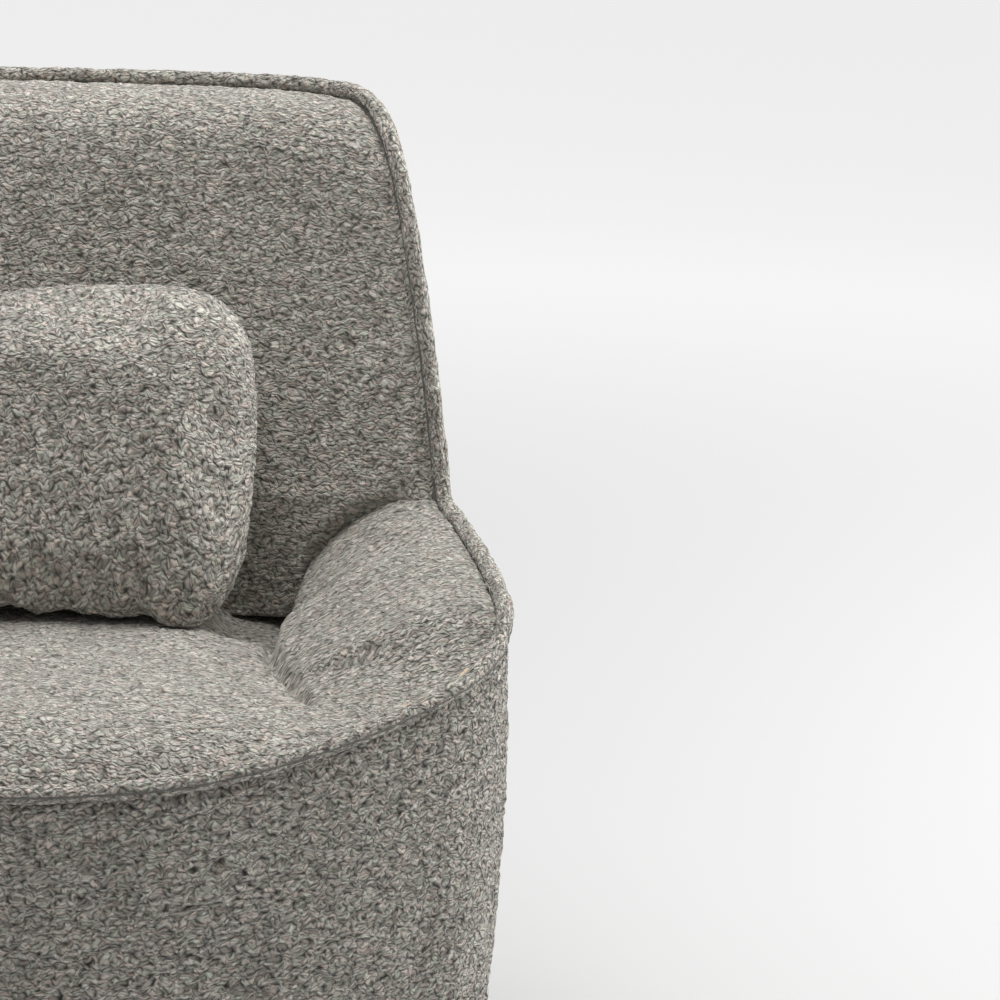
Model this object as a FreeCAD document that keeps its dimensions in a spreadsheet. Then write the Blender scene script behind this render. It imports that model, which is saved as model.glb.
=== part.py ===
import FreeCAD, Part
import math
import os
import Sketcher

# Upholstered tub chair with a loose lumbar cushion.
# Millimetres, +Z up, the sitter faces -Y, origin on the floor under the middle of the chair.

Vector = FreeCAD.Vector
UP = Vector(0, 0, 1)
RIGHT = Vector(1, 0, 0)
FAR = 700.0

os.makedirs("parts", exist_ok=True)
doc = FreeCAD.newDocument("tub_chair")
sheet = doc.addObject("Spreadsheet::Sheet", "Sizes")
sheet.Label = "sizes"

# Driving dimensions
SIZES = [
    ("half_width", 400, "outer cover, at its widest"),
    ("front_reach", 390, "outer cover in front of the origin"),
    ("back_reach", 396, "outer cover behind the origin"),
    ("front_bow", 640, "plan radius of the front"),
    ("side_bow", 2000, "plan radius of a side"),
    ("back_bow", 900, "plan radius of the back"),
    ("front_corner", 110, "plan radius of a front corner"),
    ("rear_corner", 200, "plan radius of a rear corner"),
    ("widest_station", -180, "Y of the widest point of a side"),
    ("plan_chord", 95, "longest straight run of the plan"),
    ("plan_turn", 14, "degrees, sharpest turn between two runs of the plan"),
    ("hem_level", 43, "underside of the outer cover"),
    ("hem_draw_in", 30, "how far the wall draws in at the hem"),
    ("belly_level", 360, "level of the widest point"),
    ("top_level", 850, "level where the top draw-in is measured"),
    ("top_draw_in", 38, "how far the wall draws in at the top"),
    ("front_rim_level", 379, "welt centre at the front"),
    ("front_rim_station", -378, "Y where the rim leaves the front"),
    ("front_rim_bend", 50, "radius there"),
    ("arm_front_level", 477, "welt centre at the front of the arm"),
    ("arm_front_station", -200, "Y of the front of the arm"),
    ("arm_front_bend", 60, "radius there"),
    ("arm_back_level", 500, "welt centre where the arm meets the wing"),
    ("arm_back_station", 91.5, "Y where the arm meets the wing"),
    ("arm_back_bend", 25, "radius there"),
    ("top_rim_level", 832, "welt centre along the top of the back"),
    ("top_rim_station", 180, "Y where the wing meets the top"),
    ("top_rim_bend", 110, "radius there"),
    ("welt_diameter", 14, "padded welt cord with its cover"),
    ("welt_inset", 2, "welt centre inside the outer cover's face"),
    ("cover_thickness", 2.7, "chenille upholstery fabric"),
    ("wadding_thickness", 10, "outer wadding"),
    ("shell_thickness", 3, "bent plywood wrapped round the frame"),
    ("layer_gap", 0.3, "clearance between layers"),
    ("hem_width", 45, "turned-in hem of the outer cover"),
    ("seam_station", -215, "Y of the front corner seams"),
    ("dust_cover_thickness", 1, "non-woven dust cover"),
    ("dust_cover_margin", 22, "dust cover inside the hem's edge"),
    ("base_thickness", 18, "plywood base board"),
    ("foot_across", 235, "foot centre from the middle plane, X"),
    ("foot_along", 235, "foot centre from the middle plane, Y"),
    ("foot_top_side", 60, "square foot at the chair"),
    ("foot_toe_side", 40, "square foot at its glide"),
    ("foot_edge", 5, "chamfered upright edges of the foot"),
    ("glide_diameter", 28, "nylon glide"),
    ("glide_thickness", 3, "nylon glide"),
    ("glide_pin_diameter", 5, "pin of the glide"),
    ("glide_pin_length", 10, "pin of the glide"),
    ("bolt_diameter", 8, "hanger bolt of a foot"),
    ("bolt_in_foot", 26, "length of the hanger bolt in the foot"),
    ("bolt_clearance", 0.25, "room round the hanger bolt"),
    ("nut_barrel_diameter", 11, "tee nut barrel"),
    ("nut_barrel_length", 14, "tee nut barrel"),
    ("nut_flange_diameter", 24, "tee nut flange"),
    ("nut_flange_thickness", 1.6, "tee nut flange"),
    ("post_side", 38, "square post"),
    ("front_post_across", 180, "front post centre, X"),
    ("front_post_setback", 128, "front post centre, behind the front"),
    ("side_post_setback", 82, "side post centre, in from the widest point"),
    ("side_post_station", -10, "side post centre, Y"),
    ("rear_post_across", 180, "rear post centre, X"),
    ("rear_post_setback", 156, "rear post centre, before the back"),
    ("seat_frame_level", 330, "top of the seat frame"),
    ("seat_frame_thickness", 22, "plywood seat frame"),
    ("seat_hole_half_width", 195, "hole under the webbing"),
    ("seat_hole_front_setback", 165, "hole under the webbing, behind the front"),
    ("seat_hole_back_setback", 191, "hole under the webbing, before the back"),
    ("seat_hole_corner", 5, "hole under the webbing"),
    ("rail_thickness", 22, "rails and uprights"),
    ("rail_depth", 60, "rails"),
    ("block_leg", 55, "corner block"),
    ("block_thickness", 28, "corner block"),
    ("screw_diameter", 5, "frame screw"),
    ("screw_head_diameter", 10, "frame screw"),
    ("screw_length", 55, "frame screw"),
    ("screw_clearance", 0.15, "room round a frame screw"),
    ("web_width", 60, "seat webbing strap"),
    ("web_thickness", 1.5, "seat and back webbing"),
    ("web_overlap", 34, "webbing stapled on the frame"),
    ("web_pitch_across", 64, "spacing of the straps that run front to back"),
    ("web_pitch_along", 70, "spacing of the straps that run side to side"),
    ("arm_frame_thickness", 18, "plywood arm frame"),
    ("arm_frame_setback", 44, "arm frame's outer face, in from the widest point"),
    ("arm_frame_front", -212, "Y of the arm frame's front edge"),
    ("arm_frame_back", 76, "Y of the arm frame's back edge"),
    ("arm_frame_cover", 34, "foam over the arm frame, below the rim"),
    ("upright_side_setback", 156, "centre of a back upright, in from the widest point"),
    ("upright_setback", 151, "front edge of an upright at the seat frame, before the back"),
    ("upright_foot_width", 60, "upright at the seat frame"),
    ("upright_head_setback", 146, "front edge of an upright at its head, before the back"),
    ("upright_head_width", 38, "upright at its head"),
    ("upright_head_level", 786, "top of an upright"),
    ("lumbar_rail_level", 395, "bottom of the lumbar rail"),
    ("back_web_width", 50, "back webbing strap"),
    ("back_web_pitch", 76, "spacing of the back straps"),
    ("back_web_turn", 44, "webbing lying on a rail"),
    ("seat_side_back", 307, "half width the seat would have at the back of the tub"),
    ("seat_side_middle", 217, "half width of the seat at the cushion"),
    ("seat_side_front", 238, "half width of the seat at the dart"),
    ("seat_middle_station", -86, "Y of the cushion's corner"),
    ("seat_dart_station", -215, "Y of the dart"),
    ("seat_level", 424, "top of the crowned seat"),
    ("seat_crown", 11, "drop of the crown at the seat's sides"),
    ("seat_roll_station", -250, "Y where the front roll turns down"),
    ("seat_roll_slope", 18, "degrees, slope of the front roll"),
    ("seat_roll_rise", 3, "height of the roll's path over the crown, so that it runs out on it"),
    ("seat_roll_bend", 500, "radius of the front roll"),
    ("arm_inner_level", 421, "top of the arm pad at the seat"),
    ("arm_outer_level", 484, "top of the arm pad at the rim"),
    ("arm_outer_setback", 28, "where that level is reached, in from the widest point"),
    ("arm_crown", 13, "bulge of the arm pad's top"),
    ("pad_lift", 6, "pads stand over the wall's edge beside the welt"),
    ("skin_ease", 0.3, "clearance between a cover and its foam"),
    ("crease_gap", 0.3, "clearance between neighbouring pads"),
    ("back_face_bow", 1114, "plan radius of the back's face"),
    ("face_low_setback", 256, "back's face at the seat frame, before the back of the tub"),
    ("face_arm_setback", 252, "back's face at arm level, before the back of the tub"),
    ("face_high_setback", 182, "back's face where the crest starts, before the back of the tub"),
    ("crest_start_level", 765, "level where the crest starts"),
    ("crest_depth", 96, "how far the crest runs back"),
    ("cushion_width", 432, "lumbar cushion"),
    ("cushion_height", 269, "lumbar cushion"),
    ("cushion_thickness", 150, "lumbar cushion"),
    ("cushion_lean", 21, "degrees, how far the lumbar cushion leans back"),
    ("cushion_corner", 52, "corner radius of its seam"),
    ("cushion_waist", 5, "how far its sides draw in"),
    ("cushion_edge_roll", 42, "how far its faces round in from the seam"),
    ("cushion_cover_thickness", 2, "cushion fabric"),
    ("cushion_gap", 0.3, "clearance round the cushion"),
    ("cushion_back_gap", 2.0, "clearance between the cushion and the back"),
    ("zip_length", 330, "zip in the cushion's lower seam"),
    ("zip_width", 9, "slot of the zip"),
    ("zip_depth", 6, "slot of the zip"),
    ("tape_thickness", 1.2, "zip tape with its teeth"),
    ("slider_length", 13, "zip slider"),
    ("slider_thickness", 3.2, "zip slider"),
    ("slider_edge", 1, "rounded edge of the slider"),
    ("slider_clearance", 0.4, "zip slider in its slot"),
]

# Places that keep their distance from the tub's widest, foremost and rearmost points
PLACES = [
    ("side_post_across", "half_width - side_post_setback"),
    ("arm_frame_outer_face", "half_width - arm_frame_setback"),
    ("arm_outer_station", "half_width - arm_outer_setback"),
    ("upright_across", "half_width - upright_side_setback"),
    ("front_post_station", "front_post_setback - front_reach"),
    ("seat_hole_front", "seat_hole_front_setback - front_reach"),
    ("seat_hole_back", "back_reach - seat_hole_back_setback"),
    ("rear_post_station", "back_reach - rear_post_setback"),
    ("upright_front", "back_reach - upright_setback"),
    ("upright_head_front", "back_reach - upright_head_setback"),
    ("back_face_low", "back_reach - face_low_setback"),
    ("back_face_arm", "back_reach - face_arm_setback"),
    ("back_face_high", "back_reach - face_high_setback"),
]
for row, (name, value, note) in enumerate(SIZES, 1):
    sheet.set("A%d" % row, name.replace("_", " "))
    sheet.set("B%d" % row, str(value))
    sheet.set("C%d" % row, note)
    sheet.setAlias("B%d" % row, name)
for row, (name, formula) in enumerate(PLACES, len(SIZES) + 1):
    sheet.set("A%d" % row, name.replace("_", " "))
    sheet.set("B%d" % row, "=" + formula)
    sheet.setAlias("B%d" % row, name)
doc.recompute()


def size(name):
    return float(sheet.get(name))


# Helpers for bodies, sketches and plain shapes
def keep(feature, label):
    feature.Label = label
    PIECES.append(feature)
    return feature


def place(feature, across="0", along="0", level="0"):
    feature.setExpression(".Placement.Base.x", across)
    feature.setExpression(".Placement.Base.y", along)
    feature.setExpression(".Placement.Base.z", level)


def origin_plane(body, role):
    return [item for item in body.Origin.OriginFeatures if item.Role == role][0]


def new_sketch(body, role, name):
    sketch = body.newObject("Sketcher::SketchObject", name)
    sketch.AttachmentSupport = [(origin_plane(body, role), "")]
    sketch.MapMode = "FlatFace"
    return sketch


def bind(sketch, kind, first, second, index, position, expression):
    value = float(sheet.evalExpression(expression))
    number = sketch.addConstraint(Sketcher.Constraint(kind, first, second, index, position, value))
    sketch.setExpression("Constraints[%d]" % number, expression)


def polygon(body, role, name, corners):
    sketch = new_sketch(body, role, name)
    points = []
    for across, along in corners:
        u = float(sheet.evalExpression(across))
        v = float(sheet.evalExpression(along))
        points.append(Vector(u, v, 0))
    count = len(points)
    for index in range(count):
        line = Part.LineSegment(points[index], points[(index + 1) % count])
        sketch.addGeometry(line, False)
    for index in range(count):
        sketch.addConstraint(Sketcher.Constraint("Coincident", index, 2, (index + 1) % count, 1))
    for index, (across, along) in enumerate(corners):
        bind(sketch, "DistanceX", -1, 1, index, 1, across)
        bind(sketch, "DistanceY", -1, 1, index, 1, along)
    return sketch


def circle(body, role, name, diameter, across="0", along="0"):
    sketch = new_sketch(body, role, name)
    radius = float(sheet.evalExpression(diameter)) / 2
    centre = Vector(float(sheet.evalExpression(across)), float(sheet.evalExpression(along)), 0)
    sketch.addGeometry(Part.Circle(centre, UP, radius), False)
    number = sketch.addConstraint(Sketcher.Constraint("Diameter", 0, 2 * radius))
    sketch.setExpression("Constraints[%d]" % number, diameter)
    bind(sketch, "DistanceX", -1, 1, 0, 3, across)
    bind(sketch, "DistanceY", -1, 1, 0, 3, along)
    return sketch


def pad(body, sketch, length, middle=False):
    feature = body.newObject("PartDesign::Pad", sketch.Name + "_pad")
    feature.Profile = sketch
    feature.Midplane = middle
    feature.setExpression("Length", length)
    sketch.Visibility = False
    return feature


def pocket(body, sketch, depth, upwards=False):
    feature = body.newObject("PartDesign::Pocket", sketch.Name + "_cut")
    feature.Profile = sketch
    feature.Reversed = upwards
    feature.setExpression("Length", depth)
    return feature


def revolve(body, sketch):
    feature = body.newObject("PartDesign::Revolution", sketch.Name + "_turned")
    feature.Profile = sketch
    feature.ReferenceAxis = (sketch, ["V_Axis"])
    feature.Angle = 360
    return feature


def new_body(label):
    body = doc.addObject("PartDesign::Body", label)
    return keep(body, label)


def plain(label, shape):
    feature = doc.addObject("Part::Feature", label)
    feature.Shape = shape
    feature.Placement = FreeCAD.Placement()
    return keep(feature, label)


PIECES = []
LAYER_GAP = size("layer_gap")
COVER = size("cover_thickness")
WADDING_INSET = COVER + LAYER_GAP
SHELL_INSET = WADDING_INSET + size("wadding_thickness") + LAYER_GAP
INSIDE_INSET = SHELL_INSET + size("shell_thickness") + LAYER_GAP


# Plan of the tub: eight arcs that run into each other
def mirrored(point):
    return Vector(-point.x, point.y, point.z)


def inner_circle(centre_a, reach_a, centre_b, reach_b, forward):
    """Centre of the corner circle that touches two larger circles from inside."""
    apart = centre_b - centre_a
    along = (reach_a ** 2 - reach_b ** 2 + apart.Length ** 2) / (2 * apart.Length)
    aside = math.sqrt(reach_a ** 2 - along ** 2)
    unit = apart / apart.Length
    foot = centre_a + unit * along
    normal = Vector(-unit.y, unit.x, 0) * aside
    choices = [foot + normal, foot - normal]
    choices.sort(key=lambda point: point.y * forward)
    return choices[0]


def heading(centre, point):
    return math.atan2(point.y - centre.y, point.x - centre.x)


def plan_arcs():
    """(centre, radius, start angle, end angle) round the tub, from the front, turning left."""
    front = Vector(0, size("front_bow") - size("front_reach"), 0)
    side = Vector(size("half_width") - size("side_bow"), size("widest_station"), 0)
    back = Vector(0, size("back_reach") - size("back_bow"), 0)
    small = size("front_corner")
    large = size("rear_corner")
    corner = inner_circle(front, size("front_bow") - small, side, size("side_bow") - small, 1)
    rear = inner_circle(back, size("back_bow") - large, side, size("side_bow") - large, -1)
    turns = [
        heading(front, corner),
        heading(side, corner),
        heading(side, rear),
        heading(back, rear),
    ]
    half = math.pi
    return [
        (front, size("front_bow"), -half - turns[0], turns[0]),
        (corner, small, turns[0], turns[1]),
        (side, size("side_bow"), turns[1], turns[2]),
        (rear, large, turns[2], turns[3]),
        (back, size("back_bow"), turns[3], half - turns[3]),
        (mirrored(rear), large, half - turns[3], half - turns[2]),
        (mirrored(side), size("side_bow"), half - turns[2], half - turns[1]),
        (mirrored(corner), small, half - turns[1], half - turns[0]),
    ]


def on_arc(centre, radius, angle, level):
    return centre + Vector(radius * math.cos(angle), radius * math.sin(angle), level)


def arc_draw_in(level):
    """How far the wall stands inside its widest outline: an arc below the belly, one above."""
    belly = size("belly_level")
    if level < belly:
        rise = belly - size("hem_level")
        depth = size("hem_draw_in")
    else:
        rise = size("top_level") - belly
        depth = size("top_draw_in")
    radius = (rise ** 2 + depth ** 2) / (2 * depth)
    return radius - math.sqrt(radius ** 2 - (level - belly) ** 2)


def draw_in(level):
    """The same with the wall flat between its levels."""
    for low, high in zip(WALL_LEVELS, WALL_LEVELS[1:]):
        if level <= high:
            break
    share = (level - low) / (high - low)
    return arc_draw_in(low) * (1 - share) + arc_draw_in(high) * share


def plan_ring(inset, level):
    """Corners of the tub's outline, close together where it turns."""
    ring = []
    for centre, radius, start, end in ARCS:
        chord = size("plan_chord")
        turn = math.radians(size("plan_turn"))
        steps = math.ceil(max(radius * (end - start) / chord, (end - start) / turn))
        for step in range(steps):
            angle = start + (end - start) * step / steps
            ring.append(on_arc(centre, radius - inset, angle, level))
    return ring


def flat_face(points):
    return Part.Face(Part.makePolygon(points + points[:1]))


def plan_slab(inset, level, thickness):
    return flat_face(plan_ring(inset, level)).extrude(UP * thickness)


def closed_solid(faces):
    shell = Part.makeShell(faces)
    shell.sewShape()
    solid = Part.makeSolid(shell if shell.ShapeType == "Shell" else shell.Shells[0])
    if solid.Volume < 0:
        solid.reverse()
    return solid


def band(first, second):
    """Flat faces between two rings of matching corners."""
    faces = []
    for index in range(len(first)):
        following = (index + 1) % len(first)
        faces.append(flat_face([first[index], first[following], second[following], second[index]]))
    return faces


def skinned(rings):
    """Solid through a row of rings, closed at both ends."""
    faces = [flat_face(rings[0]), flat_face(rings[-1])]
    for first, second in zip(rings, rings[1:]):
        faces += band(first, second)
    return closed_solid(faces)


def tub_block(inset, bottom, top):
    """Solid inside the tub's wall, flat between a few levels."""
    levels = [bottom] + [level for level in WALL_LEVELS if bottom < level < top] + [top]
    return skinned([plan_ring(inset + draw_in(level), level) for level in levels])


ARCS = plan_arcs()
WALL_LEVELS = [
    size("hem_level"),
    (size("hem_level") + size("belly_level")) / 2,
    size("belly_level"),
    (2 * size("belly_level") + size("top_level")) / 3,
    (size("belly_level") + 2 * size("top_level")) / 3,
    size("top_level"),
]


# Side profile of the rim: straight runs joined by tangent arcs
def rim_corners():
    return [
        (Vector(0, -FAR, size("front_rim_level")), 0),
        (Vector(0, size("front_rim_station"), size("front_rim_level")), size("front_rim_bend")),
        (Vector(0, size("arm_front_station"), size("arm_front_level")), size("arm_front_bend")),
        (Vector(0, size("arm_back_station"), size("arm_back_level")), size("arm_back_bend")),
        (Vector(0, size("top_rim_station"), size("top_rim_level")), size("top_rim_bend")),
        (Vector(0, FAR, size("top_rim_level")), 0),
    ]


def rounded_path(corners):
    """Edges through the corners, each corner rounded to its own radius."""
    edges = []
    last = corners[0][0]
    for (before, _), (here, radius), (after, _) in zip(corners, corners[1:], corners[2:]):
        back = (before - here).normalize()
        ahead = (after - here).normalize()
        opening = back.getAngle(ahead)
        reach = radius / math.tan(opening / 2)
        middle = (back + ahead).normalize()
        centre = here + middle * (radius / math.sin(opening / 2))
        enter = here + back * reach
        leave = here + ahead * reach
        if (enter - last).Length > 1e-6:
            edges.append(Part.LineSegment(last, enter).toShape())
        edges.append(Part.Arc(enter, centre - middle * radius, leave).toShape())
        last = leave
    edges.append(Part.LineSegment(last, corners[-1][0]).toShape())
    return edges


def shifted_corners(corners, shift):
    """The same path moved square to itself; positive shift goes up or forward."""
    lines = []
    for (start, _), (end, _) in zip(corners, corners[1:]):
        along = (end - start).normalize()
        normal = Vector(0, -along.z, along.y)
        lines.append((start + normal * shift, along))
    result = [(lines[0][0], 0)]
    for index in range(1, len(lines)):
        base, first = lines[index - 1]
        other, second = lines[index]
        turn = first.y * second.z - first.z * second.y
        run = ((other.y - base.y) * second.z - (other.z - base.z) * second.y) / turn
        radius = corners[index][1] - shift * (1 if turn > 0 else -1)
        result.append((base + first * run, radius))
    end, along = lines[-1]
    result.append((Vector(0, FAR, end.z), 0))
    return result


def rim_path(shift):
    return rounded_path(shifted_corners(rim_corners(), shift))


def under_path(edges):
    """Everything under a path of the side view."""
    edges = list(edges)
    start = edges[0].Vertexes[0].Point
    end = edges[-1].Vertexes[-1].Point
    floor_end = Vector(0, end.y, -1)
    floor_start = Vector(0, start.y, -1)
    edges.append(Part.LineSegment(end, floor_end).toShape())
    edges.append(Part.LineSegment(floor_end, floor_start).toShape())
    edges.append(Part.LineSegment(floor_start, start).toShape())
    block = Part.Face(Part.Wire(edges)).extrude(RIGHT * 2 * FAR)
    block.translate(RIGHT * -FAR)
    return block


def below_rim(shift):
    """Everything under the rim line, moved square to itself by the shift."""
    return under_path(rim_path(shift))


WALL_SHIFT = -(size("welt_diameter") / 2 + LAYER_GAP)
PAD_SHIFT = WALL_SHIFT + size("pad_lift")
WALL_TRIM = below_rim(WALL_SHIFT)
TUB_TOP = size("top_level")


# Feet with their glides and fasteners
FLOOR_TO_BASE = "Sizes.hem_level + Sizes.cover_thickness + Sizes.layer_gap"
FOOT_TOP = "Sizes.hem_level - Sizes.dust_cover_thickness"
CORNERS = {
    "foot_front_left": ("-1", "-1"),
    "foot_front_right": ("1", "-1"),
    "foot_back_left": ("-1", "1"),
    "foot_back_right": ("1", "1"),
}


def foot_section(body, name, side):
    """Square with its corners cut off."""
    half = side + " / 2"
    cut = half + " - Sizes.foot_edge"
    corners = []
    for first, second in (("", ""), ("-", ""), ("-", "-"), ("", "-")):
        on_side = (first + "(" + half + ")", second + "(" + cut + ")")
        on_front = (first + "(" + cut + ")", second + "(" + half + ")")
        pair = [on_side, on_front]
        corners += pair if first == second else pair[::-1]
    return polygon(body, "XY_Plane", name, corners)


def make_foot(label, across, along):
    """Tapered square hardwood foot with chamfered edges."""
    body = new_body(label)
    height = "(" + FOOT_TOP + " - Sizes.glide_thickness)"
    toe = foot_section(body, label + "_toe", "Sizes.foot_toe_side")
    head = foot_section(body, label + "_head", "Sizes.foot_top_side")
    head.setExpression(".AttachmentOffset.Base.z", height)
    taper = body.newObject("PartDesign::AdditiveLoft", label + "_taper")
    taper.Profile = toe
    taper.Sections = [head]
    taper.Ruled = True
    bolt_hole = circle(body, "XY_Plane", label + "_bolt_hole",
                       "Sizes.bolt_diameter + 2 * Sizes.bolt_clearance")
    bolt_hole.setExpression(".AttachmentOffset.Base.z", height)
    pocket(body, bolt_hole, "Sizes.bolt_in_foot + Sizes.bolt_clearance")
    pin_hole = circle(body, "XY_Plane", label + "_pin_hole",
                      "Sizes.glide_pin_diameter + 2 * Sizes.bolt_clearance")
    pocket(body, pin_hole, "Sizes.glide_pin_length + Sizes.bolt_clearance", upwards=True)
    place(body, across + " * Sizes.foot_across", along + " * Sizes.foot_along", "Sizes.glide_thickness")


def four_corners(body, feature):
    """Copies a feature at one foot to the other three."""
    steps = []
    for axis, distance in (("X_Axis", "foot_across"), ("Y_Axis", "foot_along")):
        step = body.newObject("PartDesign::LinearPattern", body.Name + "_" + axis)
        axis_line = [item for item in body.Origin.OriginFeatures if item.Role == axis][0]
        step.Direction = (axis_line, [""])
        step.setExpression("Length", "2 * Sizes." + distance)
        step.Occurrences = 2
        steps.append(step)
    group = body.newObject("PartDesign::MultiTransform", body.Name + "_copies")
    group.Originals = [feature]
    group.Transformations = steps
    body.Tip = group


def turned_set(label, level, corners):
    """Four identical turned pieces, one at each foot."""
    body = new_body(label)
    sketch = polygon(body, "XZ_Plane", label + "_profile", corners)
    feature = revolve(body, sketch)
    doc.recompute()
    four_corners(body, feature)
    place(body, "-Sizes.foot_across", "-Sizes.foot_along", level)


for label, (across, along) in CORNERS.items():
    make_foot(label, across, along)

turned_set("foot_glides", "0", [
    ("0", "0"),
    ("Sizes.glide_diameter / 2", "0"),
    ("Sizes.glide_diameter / 2", "Sizes.glide_thickness"),
    ("Sizes.glide_pin_diameter / 2", "Sizes.glide_thickness"),
    ("Sizes.glide_pin_diameter / 2", "Sizes.glide_thickness + Sizes.glide_pin_length"),
    ("0", "Sizes.glide_thickness + Sizes.glide_pin_length"),
])
BOLT_TOP = "(" + FLOOR_TO_BASE + " + Sizes.base_thickness - (" + FOOT_TOP + ") + Sizes.bolt_in_foot)"
turned_set("foot_bolts", FOOT_TOP + " - Sizes.bolt_in_foot", [
    ("0", "0"),
    ("Sizes.bolt_diameter / 2", "0"),
    ("Sizes.bolt_diameter / 2", BOLT_TOP),
    ("0", BOLT_TOP),
])
turned_set("foot_nuts", FLOOR_TO_BASE + " + Sizes.base_thickness - Sizes.nut_barrel_length", [
    ("Sizes.bolt_diameter / 2 + Sizes.bolt_clearance", "0"),
    ("Sizes.nut_barrel_diameter / 2", "0"),
    ("Sizes.nut_barrel_diameter / 2", "Sizes.nut_barrel_length"),
    ("Sizes.nut_flange_diameter / 2", "Sizes.nut_barrel_length"),
    ("Sizes.nut_flange_diameter / 2", "Sizes.nut_barrel_length + Sizes.nut_flange_thickness"),
    ("Sizes.bolt_diameter / 2 + Sizes.bolt_clearance", "Sizes.nut_barrel_length + Sizes.nut_flange_thickness"),
])


def rods(spots, diameter, bottom, top):
    """Round cutters or pieces that stand at the spots."""
    return [Part.makeCylinder(diameter / 2, top - bottom, Vector(x, y, bottom)) for x, y in spots]


FOOT_SPOTS = [(x * size("foot_across"), y * size("foot_along")) for x in (-1, 1) for y in (-1, 1)]
HEM = size("hem_level")
BASE_LEVEL = HEM + COVER + LAYER_GAP
BASE_TOP = BASE_LEVEL + size("base_thickness")
FRAME_TOP = size("seat_frame_level")
FRAME_BOTTOM = FRAME_TOP - size("seat_frame_thickness")
BOLT_HOLE = size("bolt_diameter") + 2 * size("bolt_clearance")
BARREL_HOLE = size("nut_barrel_diameter") + 2 * size("bolt_clearance")
POST_SPOTS = [
    (side * size(kind + "_post_across"), size(kind + "_post_station"))
    for kind in ("front", "side", "rear") for side in (-1, 1)
]
SCREW_HOLE = size("screw_diameter") + 2 * size("screw_clearance")


# Base board, with through holes for the feet and the posts' screws
base = plan_slab(INSIDE_INSET + draw_in(BASE_LEVEL), BASE_LEVEL, size("base_thickness"))
base = base.cut(rods(FOOT_SPOTS, BOLT_HOLE, BASE_LEVEL - 1, BASE_TOP + 1))
base = base.cut(rods(FOOT_SPOTS, BARREL_HOLE, BASE_TOP - size("nut_barrel_length") - LAYER_GAP, BASE_TOP + 1))
base = base.cut(rods(POST_SPOTS, SCREW_HOLE, BASE_LEVEL - 1, BASE_TOP + 1))
HEAD_HOLE = size("screw_head_diameter") + LAYER_GAP
base = base.cut(rods(POST_SPOTS, HEAD_HOLE, BASE_LEVEL - 1, BASE_LEVEL + size("screw_diameter")))
plain("base_board", base)

# Seat frame: one plywood ring on the posts
ring = plan_slab(INSIDE_INSET + draw_in(FRAME_BOTTOM), FRAME_BOTTOM, size("seat_frame_thickness"))
hole_depth = size("seat_hole_back") - size("seat_hole_front")
hole = Part.makeBox(2 * size("seat_hole_half_width"), hole_depth, size("seat_frame_thickness") + 2,
                    Vector(-size("seat_hole_half_width"), size("seat_hole_front"), FRAME_BOTTOM - 1))
uprights = [edge for edge in hole.Edges if abs(edge.tangentAt(edge.FirstParameter).z) > 0.9]
hole = hole.makeFillet(size("seat_hole_corner"), uprights)
ring = ring.cut(hole)
ring = ring.cut(rods(POST_SPOTS, SCREW_HOLE, FRAME_BOTTOM - 1, FRAME_TOP + 1))
ring = ring.cut(rods(POST_SPOTS, HEAD_HOLE, FRAME_TOP - size("screw_diameter"), FRAME_TOP + 1))
plain("seat_frame", ring)

# Posts between the base board and the seat frame
POST_LENGTH = ("(Sizes.seat_frame_level - Sizes.seat_frame_thickness - Sizes.base_thickness - ("
               + FLOOR_TO_BASE + "))")


def make_post(label, across, along):
    body = new_body(label)
    half = "Sizes.post_side / 2"
    section = polygon(body, "XY_Plane", label + "_section", [
        ("-" + half, "-" + half),
        (half, "-" + half),
        (half, half),
        ("-" + half, half),
    ])
    pad(body, section, POST_LENGTH)
    grip = "Sizes.screw_length - Sizes.base_thickness + Sizes.screw_diameter"
    low = circle(body, "XY_Plane", label + "_low_pilot", "Sizes.screw_diameter + 2 * Sizes.screw_clearance")
    pocket(body, low, grip, upwards=True)
    high = circle(body, "XY_Plane", label + "_high_pilot",
                  "Sizes.screw_diameter + 2 * Sizes.screw_clearance")
    high.setExpression(".AttachmentOffset.Base.z", POST_LENGTH)
    pocket(body, high, grip)
    place(body, across, along, FLOOR_TO_BASE + " + Sizes.base_thickness")


for kind in ("front", "side", "rear"):
    for side, sign in (("left", "-"), ("right", "")):
        make_post(kind + "_post_" + side, sign + "Sizes." + kind + "_post_across",
                  "Sizes." + kind + "_post_station")

# Countersunk screws through the base board and the seat frame into the posts
def screw(spot, head_level, point_down):
    """Screw with a conical head, its head's face on the level."""
    x, y = spot
    radius = size("screw_diameter") / 2
    head = size("screw_head_diameter") / 2
    taper = head - radius
    way = -UP if point_down else UP
    start = Vector(x, y, head_level)
    cone = Part.makeCone(head, radius, taper, start, way)
    shank = Part.makeCylinder(radius, size("screw_length") - taper, start + way * taper, way)
    return cone.fuse(shank).removeSplitter()


screws = [screw(spot, FRAME_TOP - LAYER_GAP, True) for spot in POST_SPOTS]
screws += [screw(spot, BASE_LEVEL + LAYER_GAP, False) for spot in POST_SPOTS]
plain("frame_screws", Part.makeCompound(screws))


# Rails under the seat frame, between the front posts and between the rear posts
def make_rail(label, post, level_top):
    body = new_body(label)
    half = "(Sizes." + post + "_post_across - Sizes.post_side / 2)"
    section = polygon(body, "YZ_Plane", label + "_section", [
        ("-Sizes.rail_thickness / 2", "-Sizes.rail_depth"),
        ("Sizes.rail_thickness / 2", "-Sizes.rail_depth"),
        ("Sizes.rail_thickness / 2", "0"),
        ("-Sizes.rail_thickness / 2", "0"),
    ])
    pad(body, section, "2 * " + half, middle=True)
    place(body, "0", "Sizes." + post + "_post_station", level_top)


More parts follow.
